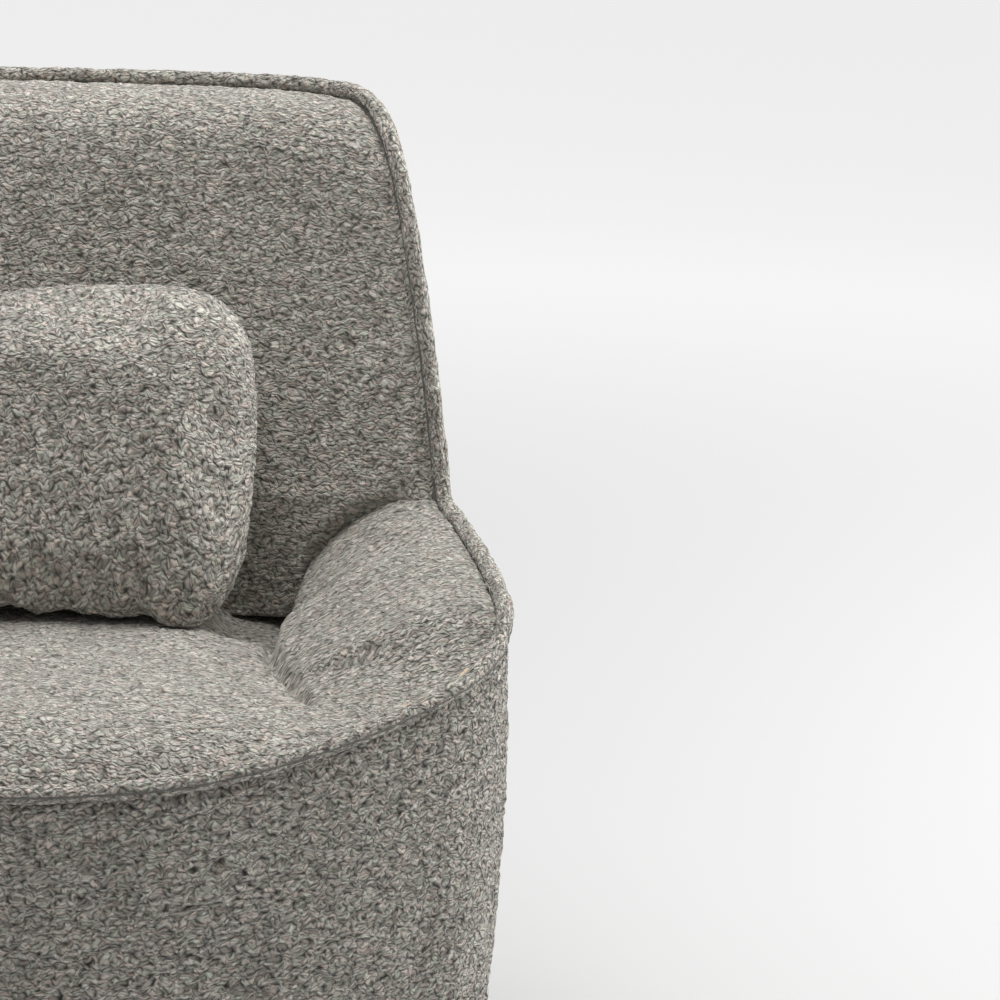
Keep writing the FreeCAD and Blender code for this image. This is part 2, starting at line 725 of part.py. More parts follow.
make_rail("front_rail", "front", "Sizes.seat_frame_level - Sizes.seat_frame_thickness")
make_rail("rear_rail", "rear", "Sizes.seat_frame_level - Sizes.seat_frame_thickness")


# Corner blocks glued into the corners of posts and rails
def corner_block(across, along, toward):
    top = FRAME_BOTTOM - LAYER_GAP
    leg = size("block_leg")
    points = [
        Vector(across, along, top),
        Vector(across - math.copysign(leg, across), along, top),
        Vector(across, along + toward * leg, top),
    ]
    face = Part.Face(Part.makePolygon(points + points[:1]))
    return face.extrude(UP * -size("block_thickness"))


blocks = []
for side in (-1, 1):
    for kind, toward in (("front", 1), ("rear", -1)):
        inner = side * (size(kind + "_post_across") - size("post_side") / 2 - LAYER_GAP)
        face = size(kind + "_post_station") + toward * (size("rail_thickness") / 2 + LAYER_GAP)
        blocks.append(corner_block(inner, face, toward))
plain("corner_blocks", Part.makeCompound(blocks))


# Seat webbing: straps side to side lie flat, those front to back weave over and under them
WEB = size("web_thickness")
WEB_LOW = FRAME_TOP + LAYER_GAP


def strap_counts(span, pitch, width):
    return max(1, int((span - width) // pitch) + 1)


def centred(count, pitch, middle):
    return [middle + (index - (count - 1) / 2) * pitch for index in range(count)]


hole_middle = (size("seat_hole_front") + size("seat_hole_back")) / 2
cross_places = centred(strap_counts(hole_depth, size("web_pitch_along"), size("web_width")),
                       size("web_pitch_along"), hole_middle)
long_count = strap_counts(2 * size("seat_hole_half_width"), size("web_pitch_across"), size("web_width"))
long_places = centred(long_count, size("web_pitch_across"), 0)
cross_length = 2 * (size("seat_hole_half_width") + size("web_overlap"))
straps = []
for station in cross_places:
    corner = Vector(-cross_length / 2, station - size("web_width") / 2, WEB_LOW)
    straps.append(Part.makeBox(cross_length, size("web_width"), WEB, corner))
plain("seat_webbing_cross", Part.makeCompound(straps))


def strap_solid(across, path, width, thickness):
    under = [Vector(across - width / 2, along, level) for along, level in path]
    over = [Vector(across - width / 2, along, level + thickness) for along, level in reversed(path)]
    points = under + over
    return Part.Face(Part.makePolygon(points + points[:1])).extrude(RIGHT * width)


def woven_path(first_over):
    """Stations and levels of a strap that passes over and under the flat ones by turns."""
    half = size("web_width") / 2
    ramp = (size("web_pitch_along") - size("web_width")) / 2
    step = WEB + LAYER_GAP
    path = [(size("seat_hole_front") - size("web_overlap"), WEB_LOW)]
    for number, station in enumerate(cross_places):
        over = (number % 2 == 0) == first_over
        level = WEB_LOW + (step if over else -step)
        path.append((station - half - ramp, WEB_LOW))
        path.append((station - half, level))
        path.append((station + half, level))
    path.append((cross_places[-1] + half + ramp, WEB_LOW))
    path.append((size("seat_hole_back") + size("web_overlap"), WEB_LOW))
    return path


woven = []
for number, across in enumerate(long_places):
    woven.append(strap_solid(across, woven_path(number % 2 == 0), size("web_width"), WEB))
plain("seat_webbing_long", Part.makeCompound(woven))
SEAT_FOAM_LEVEL = WEB_LOW + 2 * WEB + 2 * LAYER_GAP


# Arm frames: plywood sides that stand on the seat frame
def make_arm_frame(label, sign):
    body = new_body(label)
    cover = "Sizes.arm_frame_cover - Sizes.seat_frame_level"
    front_top = "Sizes.arm_front_level - " + cover
    back_top = "Sizes.arm_back_level - " + cover
    outline = polygon(body, "YZ_Plane", label + "_outline", [
        ("Sizes.arm_frame_front", "0"),
        ("Sizes.arm_frame_back", "0"),
        ("Sizes.arm_frame_back", back_top),
        ("Sizes.arm_front_station", front_top),
        ("Sizes.arm_frame_front", front_top),
    ])
    pad(body, outline, "Sizes.arm_frame_thickness")
    margin = "Sizes.rail_thickness"
    window = polygon(body, "YZ_Plane", label + "_window", [
        ("Sizes.arm_frame_front + 2 * " + margin, margin),
        ("Sizes.arm_frame_back - 2 * " + margin, margin),
        ("Sizes.arm_frame_back - 2 * " + margin, back_top + " - 2 * " + margin),
        ("Sizes.arm_frame_front + 2 * " + margin, front_top + " - 2 * " + margin),
    ])
    pocket(body, window, "Sizes.arm_frame_thickness", upwards=True)
    if sign:
        place(body, "-Sizes.arm_frame_outer_face", "0", "Sizes.seat_frame_level")
    else:
        place(body, "Sizes.arm_frame_outer_face - Sizes.arm_frame_thickness", "0", "Sizes.seat_frame_level")


make_arm_frame("arm_frame_left", True)
make_arm_frame("arm_frame_right", False)


# Back frame: two leaning uprights, a lumbar rail and a top rail
def make_upright(label, sign):
    body = new_body(label)
    height = "(Sizes.upright_head_level - Sizes.seat_frame_level)"
    outline = polygon(body, "YZ_Plane", label + "_outline", [
        ("Sizes.upright_front", "0"),
        ("Sizes.upright_front + Sizes.upright_foot_width", "0"),
        ("Sizes.upright_head_front + Sizes.upright_head_width", height),
        ("Sizes.upright_head_front", height),
    ])
    pad(body, outline, "Sizes.rail_thickness", middle=True)
    place(body, sign + "Sizes.upright_across", "0", "Sizes.seat_frame_level")


make_upright("back_upright_left", "-")
make_upright("back_upright_right", "")
BACK_RISE = size("upright_head_level") - FRAME_TOP
BACK_SLOPE = (size("upright_head_front") - size("upright_front")) / BACK_RISE


def back_frame_front(level):
    """Y of the uprights' front edges at a level."""
    return size("upright_front") + (level - FRAME_TOP) * BACK_SLOPE


def back_rail(bottom, top):
    half = size("upright_across") - size("rail_thickness") / 2
    depth = size("rail_thickness")
    corners = [
        (back_frame_front(bottom), bottom),
        (back_frame_front(bottom) + depth, bottom),
        (back_frame_front(top) + depth, top),
        (back_frame_front(top), top),
    ]
    points = [Vector(-half, along, level) for along, level in corners]
    return Part.Face(Part.makePolygon(points + points[:1])).extrude(RIGHT * 2 * half)


LUMBAR_TOP = size("lumbar_rail_level") + size("rail_depth")
TOP_RAIL_BOTTOM = size("upright_head_level") - size("rail_depth")
plain("back_lumbar_rail", back_rail(size("lumbar_rail_level"), LUMBAR_TOP))
plain("back_top_rail", back_rail(TOP_RAIL_BOTTOM, size("upright_head_level")))

# Back webbing: straps stapled on the front of both rails
back_half = size("upright_across") - size("rail_thickness") / 2
back_count = strap_counts(2 * back_half, size("back_web_pitch"), size("back_web_width"))
low_end = LUMBAR_TOP - size("back_web_turn")
high_end = TOP_RAIL_BOTTOM + size("back_web_turn")
back_straps = []
for across in centred(back_count, size("back_web_pitch"), 0):
    points = []
    for level, forward in ((low_end, 0), (high_end, 0), (high_end, WEB), (low_end, WEB)):
        along = back_frame_front(level) - LAYER_GAP - forward
        points.append(Vector(across - size("back_web_width") / 2, along, level))
    face = Part.Face(Part.makePolygon(points + points[:1]))
    back_straps.append(face.extrude(RIGHT * size("back_web_width")))
plain("back_webbing", Part.makeCompound(back_straps))

# Wall layers: plywood shell, wadding, and the outer cover with its hem turned in
INNER_BLOCK = tub_block(INSIDE_INSET, BASE_LEVEL, TUB_TOP)


def wall_layer(outer, thickness, bottom):
    ring = tub_block(outer, bottom, TUB_TOP).cut(tub_block(outer + thickness, bottom - 1, TUB_TOP + 1))
    return ring.common(WALL_TRIM)


plain("shell_board", wall_layer(SHELL_INSET, size("shell_thickness"), BASE_LEVEL))
plain("outer_wadding", wall_layer(WADDING_INSET, size("wadding_thickness"), BASE_LEVEL))
cover = wall_layer(0, COVER, HEM)
hem = plan_slab(draw_in(HEM), HEM, COVER)
hem = hem.cut(plan_slab(draw_in(HEM) + size("hem_width"), HEM - 1, COVER + 2))
cover = cover.fuse(hem).removeSplitter()
seam = size("seam_station")
FRONT_SIDE = Part.makeBox(2 * FAR, FAR + seam - LAYER_GAP / 2, 2 * FAR, Vector(-FAR, -FAR, -1))
REAR_SIDE = Part.makeBox(2 * FAR, FAR - seam, 2 * FAR, Vector(-FAR, seam + LAYER_GAP / 2, -1))
plain("outer_cover_front", cover.common(FRONT_SIDE))
plain("outer_cover_wrap", cover.common(REAR_SIDE))

# Dust cover over the hem's edge, with its staples
dust_level = HEM - size("dust_cover_thickness")
dust = plan_slab(size("dust_cover_margin") + draw_in(HEM), dust_level, size("dust_cover_thickness"))
dust = dust.cut(rods(FOOT_SPOTS, BOLT_HOLE, dust_level - 1, HEM + 1))
plain("dust_cover", dust)

# Pads: each pad's outer form, moved inwards by a shift for the foam under its cover
SKIN = COVER
FOAM_SHIFT = SKIN + size("skin_ease")
CREASE = size("crease_gap")
BELOW_PADS = SEAT_FOAM_LEVEL - 10
BACK_STEPS = 6
ABOVE_PADS = size("top_rim_level") + 2


def back_section(face, level):
    """Corners round everything behind the hollow face of the back, at one level."""
    bow = size("back_face_bow")
    half = 0.6 * FAR
    ring = [Vector(half, FAR, level), Vector(-half, FAR, level)]
    for step in range(-BACK_STEPS, BACK_STEPS + 1):
        across = half * step / BACK_STEPS
        ring.append(Vector(across, face - bow + math.sqrt(bow ** 2 - across ** 2), level))
    return ring


def back_face_levels(bottom):
    low = size("back_face_low")
    high = size("back_face_high")
    start = size("crest_start_level")
    levels = [(bottom, low), (size("arm_back_level"), size("back_face_arm")), (start, high)]
    for part in (30, 60, 90):
        turn = math.radians(part)
        face = high + size("crest_depth") * (1 - math.cos(turn))
        levels.append((start + (ABOVE_PADS - start) * math.sin(turn), face))
    return levels


def back_region(shift, bottom):
    """The back's space, its face and crest moved inwards by the shift."""
    sections = [back_section(face + shift, level) for level, face in back_face_levels(bottom)]
    return skinned(sections).common(below_rim(PAD_SHIFT - shift))


def seat_side(shift):
    """Plan line between seat and arm, from front to back, moved towards the seat."""
    return [
        (size("seat_side_front") - shift, -FAR),
        (size("seat_side_front") - shift, size("seat_dart_station")),
        (size("seat_side_middle") - shift, size("seat_middle_station")),
        (size("seat_side_back") - shift, size("back_reach")),
    ]


def plan_prism(points, bottom, top):
    corners = [Vector(across, along, bottom) for across, along in points]
    return Part.Face(Part.makePolygon(corners + corners[:1])).extrude(UP * (top - bottom))


def overlap(block, *others):
    for other in others:
        block = block.common(other)
    return block


def seat_region(shift, bottom):
    """The seat's space: bowed front, front roll and a crown from side to side."""
    right = seat_side(shift)
    left = [(-across, along) for across, along in reversed(right)]
    block = plan_prism(right + left, bottom, ABOVE_PADS)
    tub = tub_block(INSIDE_INSET + shift, bottom, TUB_TOP)
    slope = math.tan(math.radians(size("seat_roll_slope")))
    level = size("seat_level")
    roll_level = level + size("seat_roll_rise")
    station = size("seat_roll_station")
    roll = shifted_corners([
        (Vector(0, -FAR, roll_level - (FAR + station) * slope), 0),
        (Vector(0, station, roll_level), size("seat_roll_bend")),
        (Vector(0, FAR, roll_level), 0),
    ], -shift)
    crown_half = size("seat_side_middle")
    crown = size("seat_crown")
    crown_radius = (crown_half ** 2 + crown ** 2) / (2 * crown)
    barrel_start = Vector(0, -FAR, level - crown_radius)
    barrel = Part.makeCylinder(crown_radius - shift, 2 * FAR, barrel_start, Vector(0, 1, 0))
    return overlap(block, tub, under_path(rounded_path(roll)), barrel, below_rim(PAD_SHIFT - shift))


def arm_top_circle():
    """Centre and radius of the arm pad's crowned top, seen from the front."""
    inner = Vector(size("seat_side_middle"), 0, size("arm_inner_level"))
    outer = Vector(size("arm_outer_station"), 0, size("arm_outer_level"))
    chord = outer - inner
    crown = size("arm_crown")
    radius = ((chord.Length / 2) ** 2 + crown ** 2) / (2 * crown)
    normal = Vector(-chord.z, 0, chord.x).normalize()
    return (inner + outer) / 2 + normal * (crown - radius), radius


def arm_region(shift, bottom):
    """The right arm's space, from its crease with the seat out past the wall."""
    inner = seat_side(-CREASE - shift)
    plan = inner + [(FAR, size("back_reach")), (FAR, -FAR)]
    block = plan_prism(plan, bottom, ABOVE_PADS)
    centre, radius = arm_top_circle()
    barrel = Part.makeCylinder(radius - shift, 2 * FAR, Vector(centre.x, -FAR, centre.z), Vector(0, 1, 0))
    return overlap(block, barrel, below_rim(PAD_SHIFT - shift))


def both_sides(label, shape):
    plain(label + "_right", shape)
    plain(label + "_left", shape.mirror(Vector(), RIGHT))


BACK_CLEAR = back_region(-CREASE, BELOW_PADS - 1)

# Seat: foam block on the webbing, and its cover
seat = seat_region(0, SEAT_FOAM_LEVEL).cut(BACK_CLEAR)
plain("seat_cover", seat.cut(seat_region(SKIN, BELOW_PADS)))
plain("seat_foam", seat_region(FOAM_SHIFT, SEAT_FOAM_LEVEL).cut(BACK_CLEAR))

# Arms: foam laid over the arm frame and up to the rim, and its cover
arm_frame_space = []
cover_over = size("arm_frame_cover")
front_top = size("arm_front_level") - cover_over + LAYER_GAP
back_top = size("arm_back_level") - cover_over + LAYER_GAP
for along, level in [
    (size("arm_frame_front") - LAYER_GAP, BELOW_PADS),
    (size("arm_frame_back") + LAYER_GAP, BELOW_PADS),
    (size("arm_frame_back") + LAYER_GAP, back_top),
    (size("arm_front_station"), front_top),
    (size("arm_frame_front") - LAYER_GAP, front_top),
]:
    inner_face = size("arm_frame_outer_face") - size("arm_frame_thickness") - LAYER_GAP
    arm_frame_space.append(Vector(inner_face, along, level))
arm_frame_space = Part.Face(Part.makePolygon(arm_frame_space + arm_frame_space[:1])).extrude(RIGHT * FAR)
arm = arm_region(0, SEAT_FOAM_LEVEL).common(INNER_BLOCK).cut(BACK_CLEAR)
both_sides("arm_cover", arm.cut([arm_region(SKIN, BELOW_PADS), arm_frame_space]))
arm_foam = arm_region(FOAM_SHIFT, SEAT_FOAM_LEVEL).common(INNER_BLOCK)
both_sides("arm_foam", arm_foam.cut([BACK_CLEAR, arm_frame_space]))

# Back: foam before the webbing and over the top rail, and its cover
back = back_region(0, SEAT_FOAM_LEVEL).common(INNER_BLOCK)
plain("back_cover", back.cut(back_region(SKIN, BELOW_PADS)))
hollow_half = size("upright_across") + size("rail_thickness") / 2 + LAYER_GAP
hollow_points = []
for level, along in [
    (BELOW_PADS, back_frame_front(BELOW_PADS) - WEB - 2 * LAYER_GAP),
    (size("upright_head_level") + LAYER_GAP, back_frame_front(size("upright_head_level")) - WEB - 2 * LAYER_GAP),
    (size("upright_head_level") + LAYER_GAP, FAR),
    (BELOW_PADS, FAR),
]:
    hollow_points.append(Vector(-hollow_half, along, level))
hollow = Part.Face(Part.makePolygon(hollow_points + hollow_points[:1])).extrude(RIGHT * 2 * hollow_half)
plain("back_foam", back_region(FOAM_SHIFT, SEAT_FOAM_LEVEL).common(INNER_BLOCK).cut(hollow))


# Welt: a covered cord that stands on the rim and runs once round the tub
def rim_level(along):
    for edge in RIM_EDGES:
        start, end = edge.Vertexes[0].Point, edge.Vertexes[-1].Point
        if start.y <= along <= end.y:
            break
    if edge.Curve.TypeId == "Part::GeomLine":
        return start.z + (end.z - start.z) * (along - start.y) / (end.y - start.y)
    centre = edge.Curve.Center
    rise = math.sqrt(edge.Curve.Radius ** 2 - (along - centre.y) ** 2)
    middle = edge.valueAt((edge.FirstParameter + edge.LastParameter) / 2)
    return centre.z + math.copysign(rise, middle.z - centre.z)


def rim_point(centre, radius, angle, inset):
    """Point of the rim over an angle of one plan arc, found by stepping to its level."""
    level = size("belly_level")
    for _ in range(20):
        point = on_arc(centre, radius - inset - draw_in(level), angle, 0)
        level = rim_level(point.y)
    return Vector(point.x, point.y, level)


def welt_points():
    """Points of the right half, closer together where the rim turns, its ends on the middle plane."""
    inset = size("welt_inset")
    dense = []
    for number in range(5):
        centre, radius, start, end = ARCS[number]
        if number == 0:
            start = -math.pi / 2
        if number == 4:
            end = math.pi / 2
        steps = max(8, int(radius * (end - start) / 3))
        turns = [start + (end - start) * step / steps for step in range(steps)]
        dense += [rim_point(centre, radius, turn, inset) for turn in turns]
    dense.append(rim_point(ARCS[4][0], ARCS[4][1], math.pi / 2, inset))
    flat_run = RIGHT * 2 * size("welt_diameter")
    chosen = [dense[0], dense[0] + flat_run]
    way = RIGHT
    for before, here in zip(dense, dense[1:]):
        if (here - before).Length < 0.01 or before.x < chosen[1].x and before.y < 0:
            continue
        run = (here - before).normalize()
        apart = (before - chosen[-1]).Length
        turned = math.degrees(way.getAngle(run))
        if apart > WELT_SHORTEST and (turned > WELT_TURN or apart > WELT_LONGEST):
            chosen.append(before)
            way = run
    while chosen[-1].y > 0 and chosen[-1].x < 2 * flat_run.x:
        chosen.pop()
    return chosen + [dense[-1] + flat_run, dense[-1]]


def across_plane(ring, way, point, normal):
    """The ring's corners carried along a run on to the plane where the next run starts."""
    carried = []
    for corner in ring:
        distance = (point - corner).dot(normal) / way.dot(normal)
        carried.append(corner + way * distance)
    return carried


def welt_rings(points):
    """Twelve-sided section carried from mitre to mitre."""
    radius = size("welt_diameter") / 2
    ring = []
    for number in range(WELT_SIDES):
        turn = 2 * math.pi * number / WELT_SIDES
        ring.append(points[0] + Vector(0, math.cos(turn), math.sin(turn)) * radius)
    rings = [ring]
    for index in range(1, len(points)):
        way = (points[index] - points[index - 1]).normalize()
        normal = way
        if index + 1 < len(points):
            normal = (way + (points[index + 1] - points[index]).normalize()).normalize()
        ring = across_plane(ring, way, points[index], normal)
        rings.append(ring)
    return rings


WELT_SIDES = 12
WELT_TURN = 8
WELT_SHORTEST = 16
WELT_LONGEST = 75
RIM_EDGES = rim_path(0)
right_rings = welt_rings(welt_points())
left_rings = [[mirrored(corner) for corner in ring] for ring in right_rings[-2:0:-1]]
welt_faces = []
loop = right_rings + left_rings
for number, ring in enumerate(loop):
    welt_faces += band(ring, loop[(number + 1) % len(loop)])
welt = closed_solid(welt_faces)
plain("welt", welt)


# Lumbar cushion: crowned faces, sides drawn in between the corners
def cushion_ring(depth, inset):
    """Corners of the seam's outline in the XZ plane, drawn in by the inset."""
    half = size("cushion_width") / 2 - inset
    low = inset
    high = size("cushion_height") - inset
    corner = size("cushion_corner")
    waist = size("cushion_waist")
    centre = (low + high) / 2
    upright_run = size("cushion_height") / 2 - corner
    level_run = size("cushion_width") / 2 - corner
    side_waist = waist * (upright_run - inset) / upright_run
    end_waist = waist * (level_run - inset) / level_run
    drawn = [
        Vector(half - side_waist, depth, centre),
        Vector(0, depth, high - end_waist),
        Vector(side_waist - half, depth, centre),
        Vector(0, depth, low + end_waist),
    ]
    ring = []
    for quarter, (across, level) in enumerate(((1, low), (1, high), (-1, high), (-1, low))):
        inward = 1 if level == low else -1
        middle = Vector(across * (half - corner), depth, level + inward * corner)
        for step in range(CORNER_STEPS + 1):
            angle = (quarter - 1 + step / CORNER_STEPS) * math.pi / 2
            ring.append(middle + Vector(math.cos(angle), 0, math.sin(angle)) * corner)
        ring.append(drawn[quarter])
    return ring


def cushion_block(shift):
    """The cushion's outer form moved inwards: outlines that round in to the faces."""
    thick = size("cushion_thickness") / 2 - shift
    roll = size("cushion_edge_roll")
    rings = []
    for step in range(-FACE_STEPS, FACE_STEPS + 1):
        angle = step / FACE_STEPS * math.pi / 2
        rings.append(cushion_ring(thick * math.sin(angle), shift + roll * (1 - math.cos(angle))))
    return skinned(rings)


CORNER_STEPS = 4
FACE_STEPS = 5


def zip_box(length, width, bottom, top, across=0):
    return Part.makeBox(length, width, top - bottom, Vector(across - length / 2, -width / 2, bottom))


ZIP_TOP = size("cushion_waist") + size("zip_depth")
TAPE_BOTTOM = ZIP_TOP - size("tape_thickness")
slot = zip_box(size("zip_length"), size("zip_width"), -FAR, ZIP_TOP)
cushion_inner = cushion_block(size("cushion_cover_thickness"))
cushion_cover = cushion_block(0).cut(cushion_inner).cut(slot)
pocket_wall = size("cushion_cover_thickness")
cushion_pocket = zip_box(size("zip_length") + 2 * pocket_wall, size("zip_width") + 2 * pocket_wall,
                         size("cushion_cover_thickness") / 2, ZIP_TOP + pocket_wall)
lining = cushion_pocket.cut(slot).common(cushion_block(size("cushion_cover_thickness") / 2))
cushion_cover = cushion_cover.fuse(lining).removeSplitter()
fill_pocket = zip_box(size("zip_length") + 2 * pocket_wall + 2 * size("cushion_gap"),
                      size("zip_width") + 2 * pocket_wall + 2 * size("cushion_gap"),
                      -1, ZIP_TOP + pocket_wall + size("cushion_gap"))
cushion_fill = cushion_block(size("cushion_cover_thickness") + size("cushion_gap")).cut(fill_pocket)
tape_gap = size("cushion_gap")
zip_tape = zip_box(size("zip_length") - 2 * tape_gap, size("zip_width") - 2 * tape_gap,
                   TAPE_BOTTOM - tape_gap, ZIP_TOP - tape_gap)

# The cushion leans against the back's face and stands on the crown of the seat
def back_face_at(across, level):
    """Y of the back's hollow face, above arm level as below it."""
    rise = size("crest_start_level") - size("arm_back_level")
    slope = (size("back_face_high") - size("back_face_arm")) / rise
    bow = size("back_face_bow")
    hollow = bow - math.sqrt(bow ** 2 - across ** 2)
    return size("back_face_arm") + max(0, level - size("arm_back_level")) * slope - hollow


tilt = FreeCAD.Rotation(RIGHT, -size("cushion_lean"))
turned = [tilt.multVec(corner.Point) for corner in cushion_block(0).Vertexes]
cushion_level = size("seat_level") + size("cushion_gap") - min(point.z for point in turned)
room = [back_face_at(point.x, point.z + cushion_level) - point.y for point in turned]
cushion_along = min(room) - size("cushion_back_gap")
CUSHION = FreeCAD.Placement(Vector(0, cushion_along, cushion_level), tilt)
for label, shape in (("lumbar_cover", cushion_cover), ("lumbar_fill", cushion_fill), ("zip_tape", zip_tape)):
    plain(label, shape).Placement = CUSHION

# Zip slider, at the closed end of the zip
slider = new_body("zip_slider")
slider_section = polygon(slider, "YZ_Plane", "slider_section", [
    ("-Sizes.zip_width / 2 + Sizes.slider_clearance", "0"),
    ("Sizes.zip_width / 2 - Sizes.slider_clearance", "0"),
    ("Sizes.zip_width / 2 - Sizes.slider_clearance", "Sizes.slider_thickness"),
    ("-Sizes.zip_width / 2 + Sizes.slider_clearance", "Sizes.slider_thickness"),
])
slider_pad = pad(slider, slider_section, "Sizes.slider_length")
doc.recompute()
slider_edges = slider.newObject("PartDesign::Fillet", "slider_edges")
upright_edges = [
    "Edge%d" % number for number, edge in enumerate(slider_pad.Shape.Edges, 1)
    if abs(edge.tangentAt(edge.FirstParameter).z) > 0.9
]
slider_edges.Base = (slider_pad, upright_edges)
slider_edges.setExpression("Radius", "Sizes.slider_edge")
slider_level = TAPE_BOTTOM - tape_gap - size("slider_clearance") - size("slider_thickness")
slider_start = -size("zip_length") / 2 + size("slider_clearance")
slider_place = FreeCAD.Placement(Vector(slider_start, 0, slider_level), FreeCAD.Rotation())
slider.Placement = CUSHION.multiply(slider_place)

# Recompute, check every object, then write each piece to its own file
doc.recompute()
for item in doc.Objects:
    if "Invalid" in item.State or "Error" in item.State:
        raise RuntimeError("failed object: %s %s" % (item.Label, item.State))
for piece in PIECES:
    if piece.Shape.isNull() or not piece.Shape.isValid() or piece.Shape.Volume <= 0:
        raise RuntimeError("bad shape: %s" % piece.Label)
for piece in PIECES:
    piece.Shape.exportStep("parts/%s.step" % piece.Label)
    box = piece.Shape.BoundBox
    print("%-20s %2d solids %9.0f mm3  z %6.1f to %6.1f" % (
        piece.Label, len(piece.Shape.Solids), piece.Shape.Volume, box.ZMin, box.ZMax))
print(len(PIECES), "pieces")
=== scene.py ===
import math

import bmesh
import bpy
import numpy as np
from mathutils import Matrix, Vector


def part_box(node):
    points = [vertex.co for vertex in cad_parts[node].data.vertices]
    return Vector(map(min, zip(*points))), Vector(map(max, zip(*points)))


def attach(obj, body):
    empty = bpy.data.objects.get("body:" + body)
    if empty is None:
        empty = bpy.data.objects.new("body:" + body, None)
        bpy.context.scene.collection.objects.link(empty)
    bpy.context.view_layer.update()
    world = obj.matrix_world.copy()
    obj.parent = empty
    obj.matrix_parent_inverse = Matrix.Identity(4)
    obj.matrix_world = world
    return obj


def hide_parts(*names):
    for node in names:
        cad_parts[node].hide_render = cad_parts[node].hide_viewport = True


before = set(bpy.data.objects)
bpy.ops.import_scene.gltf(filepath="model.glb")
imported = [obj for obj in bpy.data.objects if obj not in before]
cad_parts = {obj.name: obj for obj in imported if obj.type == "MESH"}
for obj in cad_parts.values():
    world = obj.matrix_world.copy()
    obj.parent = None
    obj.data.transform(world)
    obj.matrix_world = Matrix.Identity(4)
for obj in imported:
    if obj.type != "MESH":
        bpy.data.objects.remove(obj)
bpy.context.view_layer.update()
bpy.ops.object.select_all(action="DESELECT")


# Outer cover. Two panels of thick chenille, one across the front and one wrapped round the sides
# and the back, sewn together in a seam down each front corner. They are pulled over wadding on a
# bent plywood shell and turned in under the base, where they are stapled.
HALF_WIDTH = 0.400
FRONT_REACH = 0.390
BACK_REACH = 0.396
HEM_LEVEL = 0.043
BELLY_LEVEL = 0.360
SEAM_STATION = -0.215
WIDEST_STATION = -0.180
FRONT_BOW = 0.640
SIDE_BOW = 2.0
BACK_BOW = 0.900
FRONT_CORNER = 0.110
REAR_CORNER = 0.200
HEM_DRAW_IN = 0.030
TOP_LEVEL = 0.850
TOP_DRAW_IN = 0.038
HEM_WIDTH = 0.045
WELT_INSET = 0.002
MESH_STEP = 0.0031


def circle_inside(centre_a, reach_a, centre_b, reach_b, forward):
    apart = centre_b - centre_a
    length = math.hypot(*apart)
    along = (reach_a ** 2 - reach_b ** 2 + length ** 2) / (2 * length)
    aside = math.sqrt(reach_a ** 2 - along ** 2)
    unit = apart / length
    foot = centre_a + unit * along
    normal = np.array([-unit[1], unit[0]]) * aside
    return min((foot + normal, foot - normal), key=lambda point: point[1] * forward)


def tub_plan(step):
    """Centres, radii, angles and distances of stations round the tub, from the front, over +X."""
    front = np.array([0, FRONT_BOW - FRONT_REACH])
    side = np.array([HALF_WIDTH - SIDE_BOW, WIDEST_STATION])
    back = np.array([0, BACK_REACH - BACK_BOW])
    corner = circle_inside(front, FRONT_BOW - FRONT_CORNER, side, SIDE_BOW - FRONT_CORNER, 1)
    rear = circle_inside(back, BACK_BOW - REAR_CORNER, side, SIDE_BOW - REAR_CORNER, -1)
    turns = [math.atan2(*(end - start)[::-1]) for start, end in
             ((front, corner), (side, corner), (side, rear), (back, rear))]
    flip = np.array([-1, 1])
    half = math.pi
    arcs = [
        (front, FRONT_BOW, -half / 2, turns[0]),
        (corner, FRONT_CORNER, turns[0], turns[1]),
        (side, SIDE_BOW, turns[1], turns[2]),
        (rear, REAR_CORNER, turns[2], turns[3]),
        (back, BACK_BOW, turns[3], half - turns[3]),
        (rear * flip, REAR_CORNER, half - turns[3], half - turns[2]),
        (side * flip, SIDE_BOW, half - turns[2], half - turns[1]),
        (corner * flip, FRONT_CORNER, half - turns[1], half - turns[0]),
        (front, FRONT_BOW, half - turns[0], 1.5 * half),
    ]
    lengths = [radius * (end - start) for _, radius, start, end in arcs]
    total = sum(lengths)
    count = int(total / step / 2) * 2
    where = np.arange(count) * total / count
    starts = np.concatenate([[0], np.cumsum(lengths)])
    index = np.clip(np.searchsorted(starts, where, side="right") - 1, 0, len(arcs) - 1)
    centre = np.array([arcs[i][0] for i in index])
    radius = np.array([arcs[i][1] for i in index])
    begin = np.array([arcs[i][2] for i in index])
    angle = begin + (where - starts[index]) / radius
    return centre, radius, angle, where


def on_plan(plan, inset):
    centre, radius, angle, _ = plan
    reach = (radius - inset)[..., None]
    return centre + reach * np.stack([np.cos(angle), np.sin(angle)], -1)


def draw_in(level):
    """How far the wall stands inside its widest outline."""
    level = np.asarray(level, float)
    low = (BELLY_LEVEL - HEM_LEVEL, HEM_DRAW_IN)
    high = (TOP_LEVEL - BELLY_LEVEL, TOP_DRAW_IN)
    result = np.zeros_like(level)
    for below, (rise, depth) in ((True, low), (False, high)):
        bend = (rise ** 2 + depth ** 2) / (2 * depth)
        part = (level < BELLY_LEVEL) == below
        result[part] = bend - np.sqrt(bend ** 2 - (level[part] - BELLY_LEVEL) ** 2)
    return result


